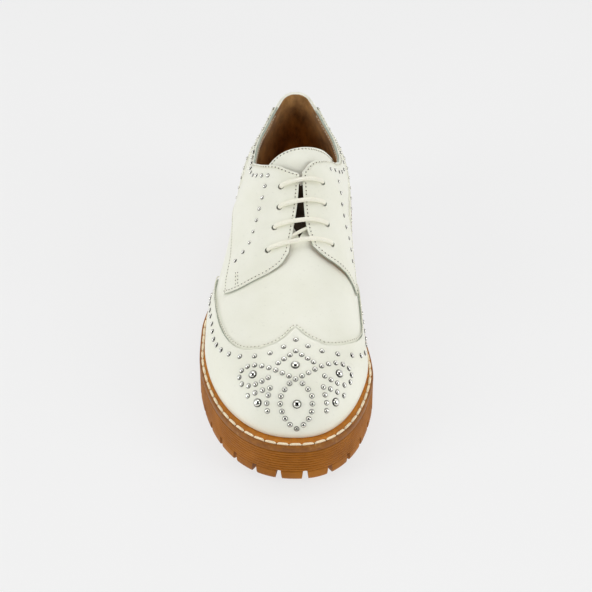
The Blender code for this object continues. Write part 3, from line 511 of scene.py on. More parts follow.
def last_point(station, angle):
    """A point of the last."""
    close = plan_closing(station)
    lateral = section_value("lateral", station) * close
    medial = section_value("medial", station) * close
    ridge_x = section_value("ridge_x", station) * close
    exponent = 2 / section_value("power", station)
    spread = np.abs(np.cos(angle)) ** exponent
    height = ridge_rise(station) * np.abs(np.sin(angle)) ** exponent
    half = np.where(np.cos(angle) > 0, -ridge_x - lateral, medial - ridge_x)
    pinch = np.where(np.cos(angle) > 0, smooth(COLLAR_PINCH[LATERAL], station),
                     smooth(COLLAR_PINCH[MEDIAL], station))
    x = ridge_x + half * spread * (1 - pinch * ease(*COLLAR_PINCH_HEIGHT, height))
    share = height / HEEL_LEAN_HEIGHT
    bulge = HEEL_BULGE * np.sin(math.pi * np.clip(share / HEEL_BULGE_TOP, 0, 1))
    lean = HEEL_LEAN * np.clip(share - HEEL_LEAN_FOOT, 0, None) ** HEEL_LEAN_POWER - bulge
    lean = lean * np.clip(1 - station / HEEL_LEAN_LENGTH, 0, 1) ** HEEL_FADE_POWER
    return np.stack([AXIS_X + x, HEEL_Y - station - lean, feather_height(station) + height], axis=-1)


def upper_normal(station, angle):
    step, turn = 0.05, 0.002
    s = np.clip(station, 2 * step, LAST_LENGTH - 2 * step)
    a = np.clip(angle, 2 * turn, math.pi - 2 * turn)
    along = last_point(s + step, a) - last_point(s - step, a)
    around = last_point(s, a + turn) - last_point(s, a - turn)
    return unit(np.cross(along, around))


def upper_point(station, angle, offset):
    """A point at an offset outwards from the last, tucked in near the feather edge."""
    station, angle, offset = np.broadcast_arrays(
        np.asarray(station, float), np.asarray(angle, float), np.asarray(offset, float)
    )
    point = last_point(station, angle)
    height = point[..., 2] - feather_height(station)
    reach = offset - TUCK * np.exp(-height / TUCK_HEIGHT)
    return point + upper_normal(station, angle) * reach[..., None]


def side_angle(side, rise):
    return rise if side == LATERAL else math.pi - rise


def rise_at_height(station, height):
    share = np.clip((height - feather_height(station)) / np.maximum(ridge_rise(station), TINY), 0, 1)
    return np.arcsin(share ** (section_value("power", station) / 2))


def rise_at_reach(side, station, reach):
    """The rise at a sideways distance from the ridge."""
    width = half_width(side, station) - side * section_value("ridge_x", station)
    share = np.clip(reach / np.maximum(width, TINY), 0, 1)
    return np.arccos(share ** (section_value("power", station) / 2))


def topline_rise(station):
    return rise_at_height(station, smooth(TOPLINE_HEIGHT, station))


def facing_lift(side, station, rise):
    """How far the facing stands off the vamp, to leave room for the lace under it."""
    far, near = (rise_at_reach(side, station, reach) for reach in FACING_LIFT_REACH)
    along = ease(*FACING_LIFT_TOP, station) * (1 - ease(*FACING_LIFT_FRONT, station))
    return FACING_LIFT * ease(far, near, rise) * along


# Places on the upper

def shifted(station, angle, move):
    """The place reached from each place by a small move along the surface, in millimetres."""
    step, turn = 0.1, 0.004
    along = (upper_point(station + step, angle, 0.0) - upper_point(station - step, angle, 0.0)) / (2 * step)
    around = (upper_point(station, angle + turn, 0.0) - upper_point(station, angle - turn, 0.0)) / (2 * turn)
    aa = (along * along).sum(-1)
    ar = (along * around).sum(-1)
    rr = (around * around).sum(-1)
    ma = (move * along).sum(-1)
    mr = (move * around).sum(-1)
    det = aa * rr - ar * ar
    return station + (rr * ma - ar * mr) / det, angle + (aa * mr - ar * ma) / det


def inset_places(station, angle, inset):
    """A line of places moved sideways over the surface, to its left as seen from outside."""
    points = upper_point(station, angle, 0.0)
    sideways = unit(np.cross(upper_normal(station, angle), np.gradient(points, axis=0)))
    return shifted(station, angle, sideways * inset)


def picture_place(points):
    """Where points fall in the photograph, and how far they are from its camera."""
    away = points - CAMERA_PLACE
    depth = away @ CAMERA_FORWARD
    across = FOCAL_PIXELS * (away @ CAMERA_RIGHT) / depth + PICTURE_SIZE / 2
    down = PICTURE_SIZE / 2 - FOCAL_PIXELS * (away @ CAMERA_UP) / depth
    return np.stack([across, down], axis=-1), depth


CAMERA_FORWARD = np.array([0.0, math.cos(CAMERA_ELEVATION), -math.sin(CAMERA_ELEVATION)])
CAMERA_RIGHT = np.array([1.0, 0.0, 0.0])
CAMERA_UP = np.cross(CAMERA_RIGHT, CAMERA_FORWARD)
CAMERA_PLACE = np.array([AXIS_X, TARGET_Y, TARGET_Z]) - CAMERA_FORWARD * CAMERA_DISTANCE


def places_in_picture(pixels, offset):
    """Stations and angles of the upper's visible points at given places in the photograph."""
    along = LAST_LENGTH * end_spaced(SEARCH_GRID[0])
    around = np.linspace(SEARCH_MARGIN, math.pi - SEARCH_MARGIN, SEARCH_GRID[1])
    station, angle = np.meshgrid(along, around, indexing="ij")
    points = upper_point(station, angle, offset)
    facing = ((CAMERA_PLACE - points) * upper_normal(station, angle)).sum(-1) > 0
    station, angle, points = station[facing], angle[facing], points[facing]
    seen, depth = picture_place(points)
    found = []
    for pixel in np.asarray(pixels, float):
        distance = np.linalg.norm(seen - pixel, axis=1)
        close = np.flatnonzero(distance < max(SEARCH_PIXELS, distance.min() + SEARCH_SLACK))
        front = close[depth[close] < depth[close].min() + SEARCH_DEPTH]
        found.append(front[np.argmin(distance[front])])
    station, angle = station[found], angle[found]
    for _ in range(SEARCH_ROUNDS):
        here, depth = picture_place(upper_point(station, angle, offset))
        miss = (np.asarray(pixels, float) - here) * (depth / FOCAL_PIXELS)[:, None]
        normal = upper_normal(station, angle)
        move = CAMERA_RIGHT * miss[:, :1] - CAMERA_UP * miss[:, 1:]
        lean = (move * normal).sum(-1) / np.minimum((CAMERA_FORWARD * normal).sum(-1), SEARCH_GRAZING)
        move = move - CAMERA_FORWARD * lean[:, None]
        move = move / np.maximum(np.linalg.norm(move, axis=1, keepdims=True), SEARCH_STEP)
        station, angle = shifted(station, angle, move)
    return station, angle


# Meshes

def add_object(name, data):
    made = bpy.data.objects.new(name, data)
    bpy.context.scene.collection.objects.link(made)
    return made


def new_mesh(name, points, faces, finishes, finish_index):
    """A mesh from points in millimetres, its normals outside; finish_index is one for all or one a face."""
    mesh = bpy.data.meshes.new(name)
    mesh.from_pydata((np.asarray(points, float) * MM).tolist(), [], faces)
    for finish in finishes:
        mesh.materials.append(finish)
    index = np.array(np.broadcast_to(finish_index, len(faces)), np.int32)
    mesh.polygons.foreach_set("material_index", index)
    work = bmesh.new()
    work.from_mesh(mesh)
    loose = [vert for vert in work.verts if not vert.link_faces]
    bmesh.ops.delete(work, geom=loose, context="VERTS")
    bmesh.ops.recalc_face_normals(work, faces=work.faces[:])
    work.to_mesh(mesh)
    work.free()
    return mesh


def soften(mesh, sharp_angle=SHARP_ANGLE):
    mesh.shade_smooth()
    mesh.set_sharp_from_angle(angle=math.radians(sharp_angle))


def add_piece(name, points, faces, finishes, slot, replaces=(), finish_index=0, sharp_angle=SHARP_ANGLE):
    """A mesh piece from points in millimetres that rides on the shoe's body."""
    mesh = new_mesh(name, points, faces, finishes, finish_index)
    soften(mesh, sharp_angle)
    piece = add_object(name, mesh)
    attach(piece, "root")
    if replaces:
        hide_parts(*replaces)
    return piece


def add_wall(name, outer, inner, finishes, slot, replaces=(), open_columns=()):
    """A piece from two grids; three finishes are for its outside, its edge and its inside."""
    points, faces, parts = shell(outer, inner, open_columns)
    return add_piece(name, points, faces, finishes, slot, replaces, parts if len(finishes) > 1 else 0)


def shell(outer, inner, open_columns=()):
    """A closed wall between two grids: points, faces and each face's part, 0 outside, 1 edge, 2 inside."""
    rows, columns = outer.shape[:2]
    rounded = np.round(outer.reshape(-1, 3), 4)
    _, first, ids = np.unique(rounded, axis=0, return_index=True, return_inverse=True)
    ids = ids.reshape(rows, columns)
    count = len(first)
    points = np.concatenate([outer.reshape(-1, 3)[first], inner.reshape(-1, 3)[first]])
    kept = np.array([c for c in range(columns - 1) if c not in open_columns])
    corners = np.stack([ids[:-1, kept], ids[:-1, kept + 1], ids[1:, kept + 1], ids[1:, kept]], axis=-1)
    outside = []
    edges = set()
    for quad in corners.reshape(-1, 4).tolist():
        face = [a for a, b in zip(quad, quad[1:] + quad[:1]) if a != b]
        if len(set(face)) < max(3, len(face)):
            continue
        outside.append(face)
        edges.update(zip(face, face[1:] + face[:1]))
    inside = [[a + count for a in reversed(face)] for face in outside]
    walls = [[b, a, a + count, b + count] for a, b in edges if (b, a) not in edges]
    parts = [0] * len(outside) + [2] * len(inside) + [1] * len(walls)
    return points, outside + inside + walls, parts


def ring_faces(levels, count):
    """Quads of a tube whose rings hold the same number of points."""
    ids = np.arange(levels * count).reshape(levels, count)
    following = np.roll(ids, -1, axis=1)
    quads = np.stack([ids[:-1], following[:-1], following[1:], ids[1:]], axis=-1)
    return quads.reshape(-1, 4).tolist()


def tube(centres, radii, sides, bumps=None):
    """A closed round tube along dense centres; bumps may add to the radius by turn and length."""
    direction = unit(np.gradient(centres, axis=0))
    across = np.zeros_like(centres)
    start = np.cross(direction[0], (0.0, 0.0, 1.0))
    for i, here in enumerate(direction):
        start = unit(start - here * (start @ here))
        across[i] = start
    second = np.cross(direction, across)
    turns = np.linspace(0, 2 * math.pi, sides, endpoint=False)
    length = run_lengths(centres)
    reach = np.broadcast_to(np.asarray(radii, float)[:, None], (len(centres), sides))
    if bumps is not None:
        reach = reach + bumps(turns[None, :], length[:, None])
    ring = across[:, None] * np.cos(turns)[None, :, None] + second[:, None] * np.sin(turns)[None, :, None]
    points = (centres[:, None] + ring * reach[..., None]).reshape(-1, 3)
    faces = ring_faces(len(centres), sides)
    faces.append(list(range(sides))[::-1])
    faces.append(list(range(len(points) - sides, len(points))))
    return points, faces


def scattered(template, places, first, second, third):
    """Copies of a small form, given as points and faces, with its axes along three directions each."""
    form, faces = template
    points = (places[:, None] + form[None, :, :1] * first[:, None] + form[None, :, 1:2] * second[:, None]
              + form[None, :, 2:] * third[:, None])
    many = []
    for k in range(len(places)):
        many += [[i + k * len(form) for i in face] for face in faces]
    return points.reshape(-1, 3), many


def joined(parts):
    """One set of points and faces from many."""
    points = []
    faces = []
    count = 0
    for part_points, part_faces in parts:
        points.append(part_points)
        faces += [[i + count for i in face] for face in part_faces]
        count += len(part_points)
    return np.concatenate(points), faces


def prism(profile, start, end):
    """A closed prism between two copies of a profile, each placed by a function of a profile point."""
    points = [start(p) for p in profile] + [end(p) for p in profile]
    count = len(profile)
    faces = ring_faces(2, count)
    faces += [list(range(count))[::-1], list(range(count, 2 * count))]
    return np.array(points, float), faces


def cut(target, pieces, finish_index=0):
    """Cuts closed pieces that don't touch each other out of a piece; cut faces take the given finish."""
    cutter = add_object("cutter", new_mesh("cutter", *joined(pieces), target.data.materials, finish_index))
    modifier = target.modifiers.new("cut", "BOOLEAN")
    modifier.operation = "DIFFERENCE"
    modifier.solver = "EXACT"
    modifier.object = cutter
    shaped = target.evaluated_get(bpy.context.evaluated_depsgraph_get())
    result = bpy.data.meshes.new_from_object(shaped)
    target.modifiers.clear()
    target.data = result
    bpy.data.objects.remove(cutter)
    soften(result)


def edge_distance(points, edge):
    """Distance from each point of a grid to the nearest point of a dense edge, in blocks to save memory."""
    flat = points.reshape(-1, 3)
    block = 2000
    nearest = [np.sqrt(((flat[start:start + block, None] - edge[None]) ** 2).sum(-1).min(axis=1))
               for start in range(0, len(flat), block)]
    return np.concatenate(nearest).reshape(points.shape[:-1])


def skived_rim(distance):
    """Share of a leather's thickness where it is thinned towards the collar."""
    return COLLAR_SHARE + (1 - COLLAR_SHARE) * ease(*COLLAR_SKIVE, distance)


def rounded_edge(distance):
    """Share of a leather's thickness near its cut edge."""
    t = np.clip(distance / EDGE_ROUNDING, 0, 1)
    return EDGE_SHARE + (1 - EDGE_SHARE) * np.sqrt(1 - (1 - t) ** 2)


# Materials

class Finish:
    """A material under construction, with short helpers for its nodes."""

    def __init__(self, name):
        self.material = bpy.data.materials.new(name)
        self.material.use_nodes = True
        self.tree = self.material.node_tree
        self.shader = self.tree.nodes["Principled BSDF"]
        self.place = self.node("ShaderNodeTexCoord").outputs["Object"]
        self.normal = None

    def node(self, kind, **values):
        made = self.tree.nodes.new(kind)
        for key, value in values.items():
            setattr(made, key, value)
        return made

    def link(self, output, socket):
        self.tree.links.new(output, socket)

    def noise(self, scale, detail=3.0, roughness=0.55, stretch=(1.0, 1.0, 1.0)):
        made = self.node("ShaderNodeTexNoise")
        made.inputs["Scale"].default_value = scale
        made.inputs["Detail"].default_value = detail
        made.inputs["Roughness"].default_value = roughness
        mapping = self.node("ShaderNodeMapping")
        mapping.inputs["Scale"].default_value = stretch
        self.link(self.place, mapping.inputs["Vector"])
        self.link(mapping.outputs["Vector"], made.inputs["Vector"])
        return made.outputs["Fac"]

    def cells(self, scale, feature="F1"):
        made = self.node("ShaderNodeTexVoronoi", feature=feature)
        made.inputs["Scale"].default_value = scale
        self.link(self.place, made.inputs["Vector"])
        return made.outputs["Distance"]

    def ramp(self, value, stops):
        """A colour ramp from rows of position and colour or grey."""
        made = self.node("ShaderNodeValToRGB")
        elements = made.color_ramp.elements
        while len(elements) < len(stops):
            elements.new(1.0)
        for element, (position, colour) in zip(elements, stops):
            element.position = position
            element.color = (*colour, 1.0) if isinstance(colour, tuple) else (colour, colour, colour, 1.0)
        self.link(value, made.inputs["Fac"])
        return made.outputs["Color"]

    def mix(self, share, first, second, blend="MIX"):
        made = self.node("ShaderNodeMix", data_type="RGBA", blend_type=blend)
        if isinstance(share, float):
            made.inputs["Factor"].default_value = share
        else:
            self.link(share, made.inputs["Factor"])
        for colour, socket in ((first, made.inputs[6]), (second, made.inputs[7])):
            if isinstance(colour, tuple):
                socket.default_value = (*colour, 1.0)
            else:
                self.link(colour, socket)
        return made.outputs[2]

    def bump(self, height, strength, distance):
        made = self.node("ShaderNodeBump")
        made.inputs["Strength"].default_value = strength
        made.inputs["Distance"].default_value = distance * MM
        self.link(height, made.inputs["Height"])
        if self.normal is not None:
            self.link(self.normal, made.inputs["Normal"])
        self.normal = made.outputs["Normal"]

    def done(self, colour, roughness, **constants):
        """Connects colour and roughness; constants go on the shader's own sockets."""
        self.link(colour, self.shader.inputs["Base Color"])
        self.link(roughness, self.shader.inputs["Roughness"])
        for name, value in constants.items():
            self.shader.inputs[name.replace("_", " ")].default_value = value
        if self.normal is not None:
            self.link(self.normal, self.shader.inputs["Normal"])
        return self.material


def linear(red, green, blue):
    """A colour given as it is read off a screen, 0 to 255, as linear light."""
    shares = [channel / 255 for channel in (red, green, blue)]
    return tuple(c / 12.92 if c <= 0.04045 else ((c + 0.055) / 1.055) ** 2.4 for c in shares)


def smooth_leather(name, plain, shade):
    """Smooth dressed calf: fine grain, soft clouding and a low gloss."""
    finish = Finish(name)
    clouds = finish.noise(38.0, detail=4.0)
    colour = finish.ramp(clouds, ((0.35, shade), (0.62, plain)))
    specks = finish.ramp(finish.noise(620.0, detail=2.0), ((0.27, 0.80), (0.36, 1.0)))
    colour = finish.mix(0.35, colour, specks, "MULTIPLY")
    finish.bump(finish.noise(70.0, detail=3.0), 0.15, 0.5)
    finish.bump(finish.cells(1150.0), 0.10, 0.08)
    finish.bump(finish.noise(2600.0, detail=2.0), 0.08, 0.05)
    gloss = finish.ramp(finish.noise(160.0), ((0.3, 0.40), (0.7, 0.52)))
    return finish.done(colour, gloss, Coat_Weight=0.12, Coat_Roughness=0.35, Specular_IOR_Level=0.45)


def cut_edge(name, plain, shade):
    """The fibrous cut edge of a leather panel, sealed with edge dye; in darker colours it is the painted
    shade of holes.
    """
    finish = Finish(name)
    colour = finish.ramp(finish.noise(900.0, detail=4.0), ((0.3, shade), (0.65, plain)))
    finish.bump(finish.noise(1800.0, detail=3.0), 0.5, 0.1)
    gloss = finish.ramp(finish.noise(400.0), ((0.3, 0.6), (0.7, 0.8)))
    return finish.done(colour, gloss)


def suede(name, plain, shade):
    """Napped lining with soft brushed mottling."""
    finish = Finish(name)
    brushed = finish.noise(95.0, detail=5.0, roughness=0.65, stretch=(1.0, 1.0, 0.45))
    colour = finish.ramp(brushed, ((0.34, shade), (0.64, plain)))
    nap = finish.noise(2400.0, detail=3.0)
    colour = finish.mix(0.4, colour, finish.ramp(nap, ((0.3, 0.6), (0.7, 1.0))), "MULTIPLY")
    finish.bump(brushed, 0.3, 0.4)
    finish.bump(nap, 0.5, 0.12)
    gloss = finish.ramp(nap, ((0.3, 0.8), (0.7, 0.95)))
    return finish.done(colour, gloss, Sheen_Weight=0.15, Sheen_Roughness=0.5)


def tan_leather(name, plain, shade, wear, wear_from, wear_to):
    """Vegetable tanned leather with long fibres and pale scuffs."""
    finish = Finish(name)
    fibres = finish.noise(260.0, detail=5.0, roughness=0.6)
    colour = finish.ramp(fibres, ((0.3, shade), (0.66, plain)))
    scuffs = finish.ramp(finish.noise(150.0, detail=6.0, roughness=0.7), ((wear_from, 0.0), (wear_to, 1.0)))
    colour = finish.mix(scuffs, colour, wear)
    pores = finish.noise(1500.0, detail=2.0)
    colour = finish.mix(0.3, colour, finish.ramp(pores, ((0.3, 0.55), (0.5, 1.0))), "MULTIPLY")
    finish.bump(fibres, 0.25, 0.2)
    finish.bump(pores, 0.3, 0.1)
    gloss = finish.ramp(fibres, ((0.3, 0.42), (0.7, 0.62)))
    return finish.done(colour, gloss, Specular_IOR_Level=0.28)


def moulded_rubber(name, plain, shade, dust):
    """Tan moulded rubber, satin, with pale dust marks in noise patches."""
    finish = Finish(name)
    clouds = finish.noise(55.0, detail=4.0)
    colour = finish.ramp(clouds, ((0.32, shade), (0.66, plain)))
    marks = finish.ramp(finish.noise(330.0, detail=5.0, roughness=0.7), ((0.60, 0.0), (0.74, 0.7)))
    colour = finish.mix(marks, colour, dust)
    skin = finish.noise(1900.0, detail=3.0)
    finish.bump(skin, 0.25, 0.08)
    gloss = finish.ramp(finish.noise(240.0), ((0.3, 0.45), (0.7, 0.62)))
    return finish.done(colour, gloss, Specular_IOR_Level=0.22)


def polished_metal(name, plain, shade):
    """Nickel plate with fine wear and a duller film."""
    finish = Finish(name)
    film = finish.noise(420.0, detail=3.0)
    colour = finish.ramp(film, ((0.35, shade), (0.6, plain)))
    finish.bump(finish.noise(700.0, detail=2.0), 0.02, 0.03)
    gloss = finish.ramp(finish.noise(900.0, detail=3.0), ((0.3, 0.015), (0.7, 0.04)))
    return finish.done(colour, gloss, Metallic=1.0)


def cotton(name, plain, shade, scale):
    """Cotton yarn with fine fibres."""
    finish = Finish(name)
    yarn = finish.noise(scale, detail=4.0, roughness=0.65)
    colour = finish.ramp(yarn, ((0.3, shade), (0.62, plain)))
    finish.bump(yarn, 0.4, 0.08)
    gloss = finish.ramp(yarn, ((0.3, 0.75), (0.7, 0.92)))
    return finish.done(colour, gloss, Sheen_Weight=0.1, Sheen_Roughness=0.5)


# A pale floor that also glows: the emission is painted light that washes out its shadows
def glowing_paper_floor(name, plain, shade):
    finish = Finish(name)
    colour = finish.ramp(finish.noise(3.0), ((0.3, shade), (0.7, plain)))
    gloss = finish.ramp(finish.noise(5.0), ((0.3, 0.9), (0.7, 0.95)))
    return finish.done(colour, gloss, Specular_IOR_Level=0.1, Emission_Color=(1.0, 1.0, 1.0, 1.0),
                       Emission_Strength=FLOOR_GLOW)


LEATHER = smooth_leather("upper_leather", linear(245, 245, 231), linear(241, 241, 225))
EDGE = cut_edge("leather_edge", linear(188, 196, 182), linear(146, 154, 140))
FLESH = suede("leather_inside", linear(196, 172, 136), linear(160, 132, 98))
LINING = suede("lining_leather", linear(216, 164, 98), linear(142, 98, 52))
# Near-black brown for the tongue under the facings: painted shade, far darker than the lining
THROAT_SHADE = suede("throat_painted_shade", linear(74, 54, 30), linear(44, 30, 15))
WELT = tan_leather(
    "welt_leather", linear(206, 131, 38), linear(176, 105, 26), linear(206, 145, 64), 0.62, 0.8
)
WELT_EDGE = tan_leather(
    "welt_edge", linear(156, 98, 33), linear(124, 74, 24), linear(180, 130, 72), 0.56, 0.76
)
RUBBER = moulded_rubber("sole_rubber", linear(170, 105, 26), linear(146, 87, 18), linear(180, 122, 48))
METAL = polished_metal("stud_metal", (0.88, 0.88, 0.83), (0.74, 0.73, 0.68))
# Near-black metal on the studs' rims: painted shade and painted reflection
STUD_RIM_SHADE = polished_metal("stud_rim_painted_shade", (0.045, 0.042, 0.036), (0.025, 0.023, 0.02))
LACE_YARN = cotton("lace_cotton", linear(254, 252, 238), linear(244, 240, 220), 2200.0)
THREAD = cotton("seam_thread", linear(242, 241, 226), linear(230, 228, 210), 2600.0)
WELT_THREAD = cotton("welt_thread", linear(253, 240, 210), linear(236, 214, 174), 1500.0)
# Dark brown for needle and awl holes: painted shade inside the holes
NEEDLE_HOLE_SHADE = cut_edge("needle_hole_painted_shade", linear(92, 82, 62), linear(60, 50, 34))
# Grey for holes pulled in by tight stitches: painted shade
PULLED_HOLE_SHADE = cut_edge("pulled_hole_painted_shade", linear(172, 166, 146), linear(138, 130, 108))
# The floor's finish, glowing as painted light
GLOWING_FLOOR = glowing_paper_floor("glowing_paper_floor", (0.18, 0.18, 0.18), (0.17, 0.17, 0.17))


# Leather panels

def side_rows(side, station, low, high, share):
    """Stations and angles of one side, a row for each station, between two rises."""
    rise = low[:, None] + (high - low)[:, None] * share[None, :]
    return np.broadcast_to(station[:, None], rise.shape), side_angle(side, rise)


def joined_sides(lateral, medial):
    """One grid across the shoe from the rows of its two sides."""
    return tuple(np.concatenate([a, b[:, ::-1]], axis=1) for a, b in zip(lateral, medial))


def across_shoe(station, top, share):
    """Stations and angles across the shoe, on each side from the feather edge up to a rise."""
    return joined_sides(*[side_rows(side, station, 0 * station, top(side), share) for side in SIDES])


def closed_ends(grid, heel, toe):
    """A grid whose first or last row is drawn together in one point."""
    if heel:
        grid[0] = grid[0].mean(axis=0)
    if toe:
        grid[-1] = grid[-1].mean(axis=0)
    return grid


def wall_top(side, station, lowered):
    """Rise at the top edge of the wall: the collar, then the slot of the throat."""
    collar = rise_at_height(station, smooth(TOPLINE_HEIGHT, station) - lowered)
    slot = rise_at_reach(side, station, smooth(THROAT_SLOT, station))
    return np.minimum(collar, np.where(station > THROAT_SLOT[0][0], slot, FULL_RISE))


def make_vamp():
    """The outer leather of the upper, from under the heel counter to the toe."""
    rows, columns = VAMP_GRID
    station = VAMP_BACK + (LAST_LENGTH - VAMP_BACK) * sine_end(rows)
    share = crowded_end(columns, VAMP_CROWD)
    places = across_shoe(station, lambda side: wall_top(side, station, VAMP_DROP), share)
    outer = closed_ends(upper_point(*places, 0.0), False, True)
    inner = closed_ends(upper_point(*places, -VAMP_WALL), False, True)
    add_wall("vamp", outer, inner, (LEATHER, EDGE, FLESH), "upper_leather", ("upper",), (columns - 1,))


def make_lining():
    """The brown lining inside the whole upper, up to the collar."""
    rows, columns = LINING_GRID
    station = np.union1d(LAST_LENGTH * end_spaced(rows), HEEL_RIM_STATIONS)
    share = crowded_end(columns, LINING_CROWD)
    places = across_shoe(station, lambda side: wall_top(side, station, LINING_DROP), share)
    outside = -VAMP_WALL - LINING_GAP
    outer = closed_ends(upper_point(*places, outside), True, True)
    near = edge_distance(outer, np.concatenate([outer[:, columns - 1], outer[:, columns]]))
    wall = LINING_WALL * (LINING_EDGE_SHARE + (1 - LINING_EDGE_SHARE) * ease(*LINING_TAPER, near))
    inner = closed_ends(upper_point(*places, outside - wall), True, True)
    add_wall("lining", outer, inner, (LINING,), "lining_leather", open_columns=(columns - 1,))


def wing_tables(side):
    """The wing's edge as station and rise: from the feather, and from the peak, to the valley."""
    table = [(station, rise) for rise, station in WING_EDGE[side]]
    split = table.index(max(table, key=lambda row: row[0]))
    return table[:split + 1], table[:split - 1:-1]


def wing_edge_places():
    """The two halves of the wing's edge, each from the feather over its valley to the peak."""
    halves = []
    for side in SIDES:
        wing, tooth = wing_tables(side)
        start, valley, peak = wing[0][0], wing[-1][0], tooth[0][0]
        wing_station = start + (valley - start) * sine_end(WING_LINE)
        tooth_station = peak + (valley - peak) * np.cos(np.linspace(0, FULL_RISE, TOOTH_LINE))
        station = np.concatenate([wing_station, tooth_station[1:]])
        rise = np.concatenate([smooth(wing, wing_station), smooth(tooth, tooth_station)[1:]])
        halves.append((station, side_angle(side, np.radians(rise))))
    return halves


def make_wing_cap():
    """The wing-shaped toe cap over the vamp, its edge rounded."""
    tables = [wing_tables(side) for side in SIDES]
    start, peak = WING_EDGE[LATERAL][0][1], WING_EDGE[LATERAL][-1][1]
    valleys = [wing[-1][0] for wing, _ in tables]
    front = max(valleys)
    station = np.concatenate([
        np.arange(start, peak, WING_STEP), np.arange(peak, front, TOOTH_STEP),
        front + (LAST_LENGTH - front) * sine_end(TOE_ROWS),
    ])
    station = np.union1d(station, valleys)
    halves = []
    for side, edges in zip(SIDES, tables):
        wing, tooth = (np.radians(smooth(table, station)) for table in edges)
        low = side_rows(side, station, 0 * wing, wing, crowded_end(WING_COLUMNS))
        high = side_rows(side, station, tooth, 0 * tooth + FULL_RISE, 1 - crowded_end(TOOTH_COLUMNS)[::-1])
        halves.append(tuple(np.concatenate(pair, axis=1) for pair in zip(low, high)))
    places = joined_sides(*halves)
    edge = np.concatenate([upper_point(*half, WING_GAP) for half in wing_edge_places()])
    wall = WING_LEATHER * rounded_edge(edge_distance(upper_point(*places, WING_GAP), edge))
    outer = closed_ends(upper_point(*places, WING_GAP + wall), False, True)
    inner = closed_ends(upper_point(*places, WING_GAP), False, True)
    open_columns = (WING_COLUMNS - 1, WING_COLUMNS + 2 * TOOTH_COLUMNS - 1)
    finishes = (LEATHER, EDGE, FLESH)
    add_wall("wing_tip", outer, inner, finishes, "upper_leather", ("wing_cap",), open_columns)


def counter_top(station):
    """Rise of the heel counter's edge: the collar at the back, then its own curve down to the feather."""
    collar = topline_rise(station)
    own = np.radians(smooth(COUNTER_EDGE, station))
    return np.where(station < COUNTER_EDGE[0][0], collar, np.minimum(collar, own))


def make_heel_counter():
    """The back panel, folded over the collar and drawn together at the heel."""
    rows, columns = COUNTER_GRID
    end = COUNTER_EDGE[-1][0]
    station = np.union1d(end * np.linspace(0, 1, rows) ** HEEL_CROWD, HEEL_RIM_STATIONS)
    places = across_shoe(station, lambda side: counter_top(station), crowded_end(columns))
    line = end * np.linspace(0, 1, COUNTER_LINE) ** HEEL_CROWD
    line = line[line > TOPLINE_HEIGHT[0][0]]
    edge = [upper_point(line, side_angle(side, counter_top(line)), COUNTER_GAP) for side in SIDES]
    near = edge_distance(upper_point(*places, COUNTER_GAP), np.concatenate(edge))
    rim = counter_top(places[0]) > topline_rise(places[0]) - COLLAR_SLACK
    wall = COUNTER_LEATHER * rounded_edge(near) * np.where(rim, skived_rim(near), 1.0)
    outer = closed_ends(upper_point(*places, COUNTER_GAP + wall), True, False)
    fold = np.where(rim & (near < COLLAR_FOLD), -VAMP_WALL, COUNTER_GAP)
    inner = closed_ends(upper_point(*places, fold), True, False)
    finishes = (LEATHER, LEATHER, FLESH)
    add_wall("heel_panel", outer, inner, finishes, "upper_leather", ("heel_counter",), (columns - 1,))


def quarter_places(side):
    """Stations and rises over a quarter: a patch between its low edge, its front edge and its top edge."""
    low_table, front_table = QUARTER_LOW_EDGE[side], QUARTER_FRONT_EDGE[side]
    low_corner = np.array([front_table[0][1], front_table[0][0]])
    top_corner = np.array([front_table[-1][1], front_table[-1][0]])
    u = end_spaced(QUARTER_GRID[0])
    v = end_spaced(QUARTER_GRID[1])[:, None]
    low_station = QUARTER_BACK + (low_corner[0] - QUARTER_BACK) * u
    counter = smooth(COUNTER_EDGE, low_station) - QUARTER_UNDERLAP
    plain = smooth(low_table, low_station)
    low_rise = np.where(low_station < COUNTER_EDGE[-2][0], np.maximum(counter, plain), plain)
    top_station = QUARTER_BACK + (top_corner[0] - QUARTER_BACK) * u
    gap = np.where(top_station < FACING_GAP[side][0][0], FULL_RISE,
                   rise_at_reach(side, top_station, smooth(FACING_GAP[side], top_station)))
    raised = np.radians(smooth(FACING_RAISE[side], top_station))
    top_rise = np.degrees(np.minimum(topline_rise(top_station) + raised, gap))
    low_rise = np.minimum(low_rise, top_rise - 0.5)
    front_rise = low_corner[1] + (top_corner[1] - low_corner[1]) * v
    front_station = smooth(front_table, front_rise)
    straight = low_corner[0] + (top_corner[0] - low_corner[0]) * v
    station = (1 - v) * low_station + v * top_station + u**3 * (front_station - straight)
    rise = (1 - v) * low_rise + v * top_rise
    return station, np.radians(rise)


def quarter_surface(side, station, rise):
    """Offset of the quarter's inner face from the last; the facing droops towards the throat."""
    lift = facing_lift(side, station, rise)
    far, near = (rise_at_reach(side, station, reach) for reach in FACING_DROOP_REACH)
    return QUARTER_GAP + lift - FACING_DROOP * lift / FACING_LIFT * ease(far, near, rise)


def make_quarter(side, name, node):
    station, rise = quarter_places(side)
    angle = side_angle(side, rise)
    inside = quarter_surface(side, station, rise)
    middle = upper_point(station, angle, inside)
    edge = np.concatenate([middle[-1], middle[:, -1], middle[0]])
    near = edge_distance(middle, edge)
    top = edge_distance(middle, middle[-1])
    at_collar = station[-1] < FACING_LIFT_TOP[1]
    skived = np.where(at_collar, skived_rim(top), 1.0)
    outer = upper_point(station, angle, inside + QUARTER_LEATHER * rounded_edge(near) * skived)
    folded = at_collar[None, :] & (top < COLLAR_FOLD)
    inner = upper_point(station, angle, np.where(folded, np.minimum(inside, -VAMP_WALL), inside))
    quarter = add_wall(name, outer, inner, (LEATHER, EDGE, LINING), "upper_leather", (node,))
    cut(quarter, [lace_hole(side, row) for row in range(len(LACE_ROWS))], 1)


def lace_place(side, row):
    """Station of a lace hole and its distance from the ridge."""
    first = 0 if side == LATERAL else 2
    return LACE_ROWS[row][first:first + 2]


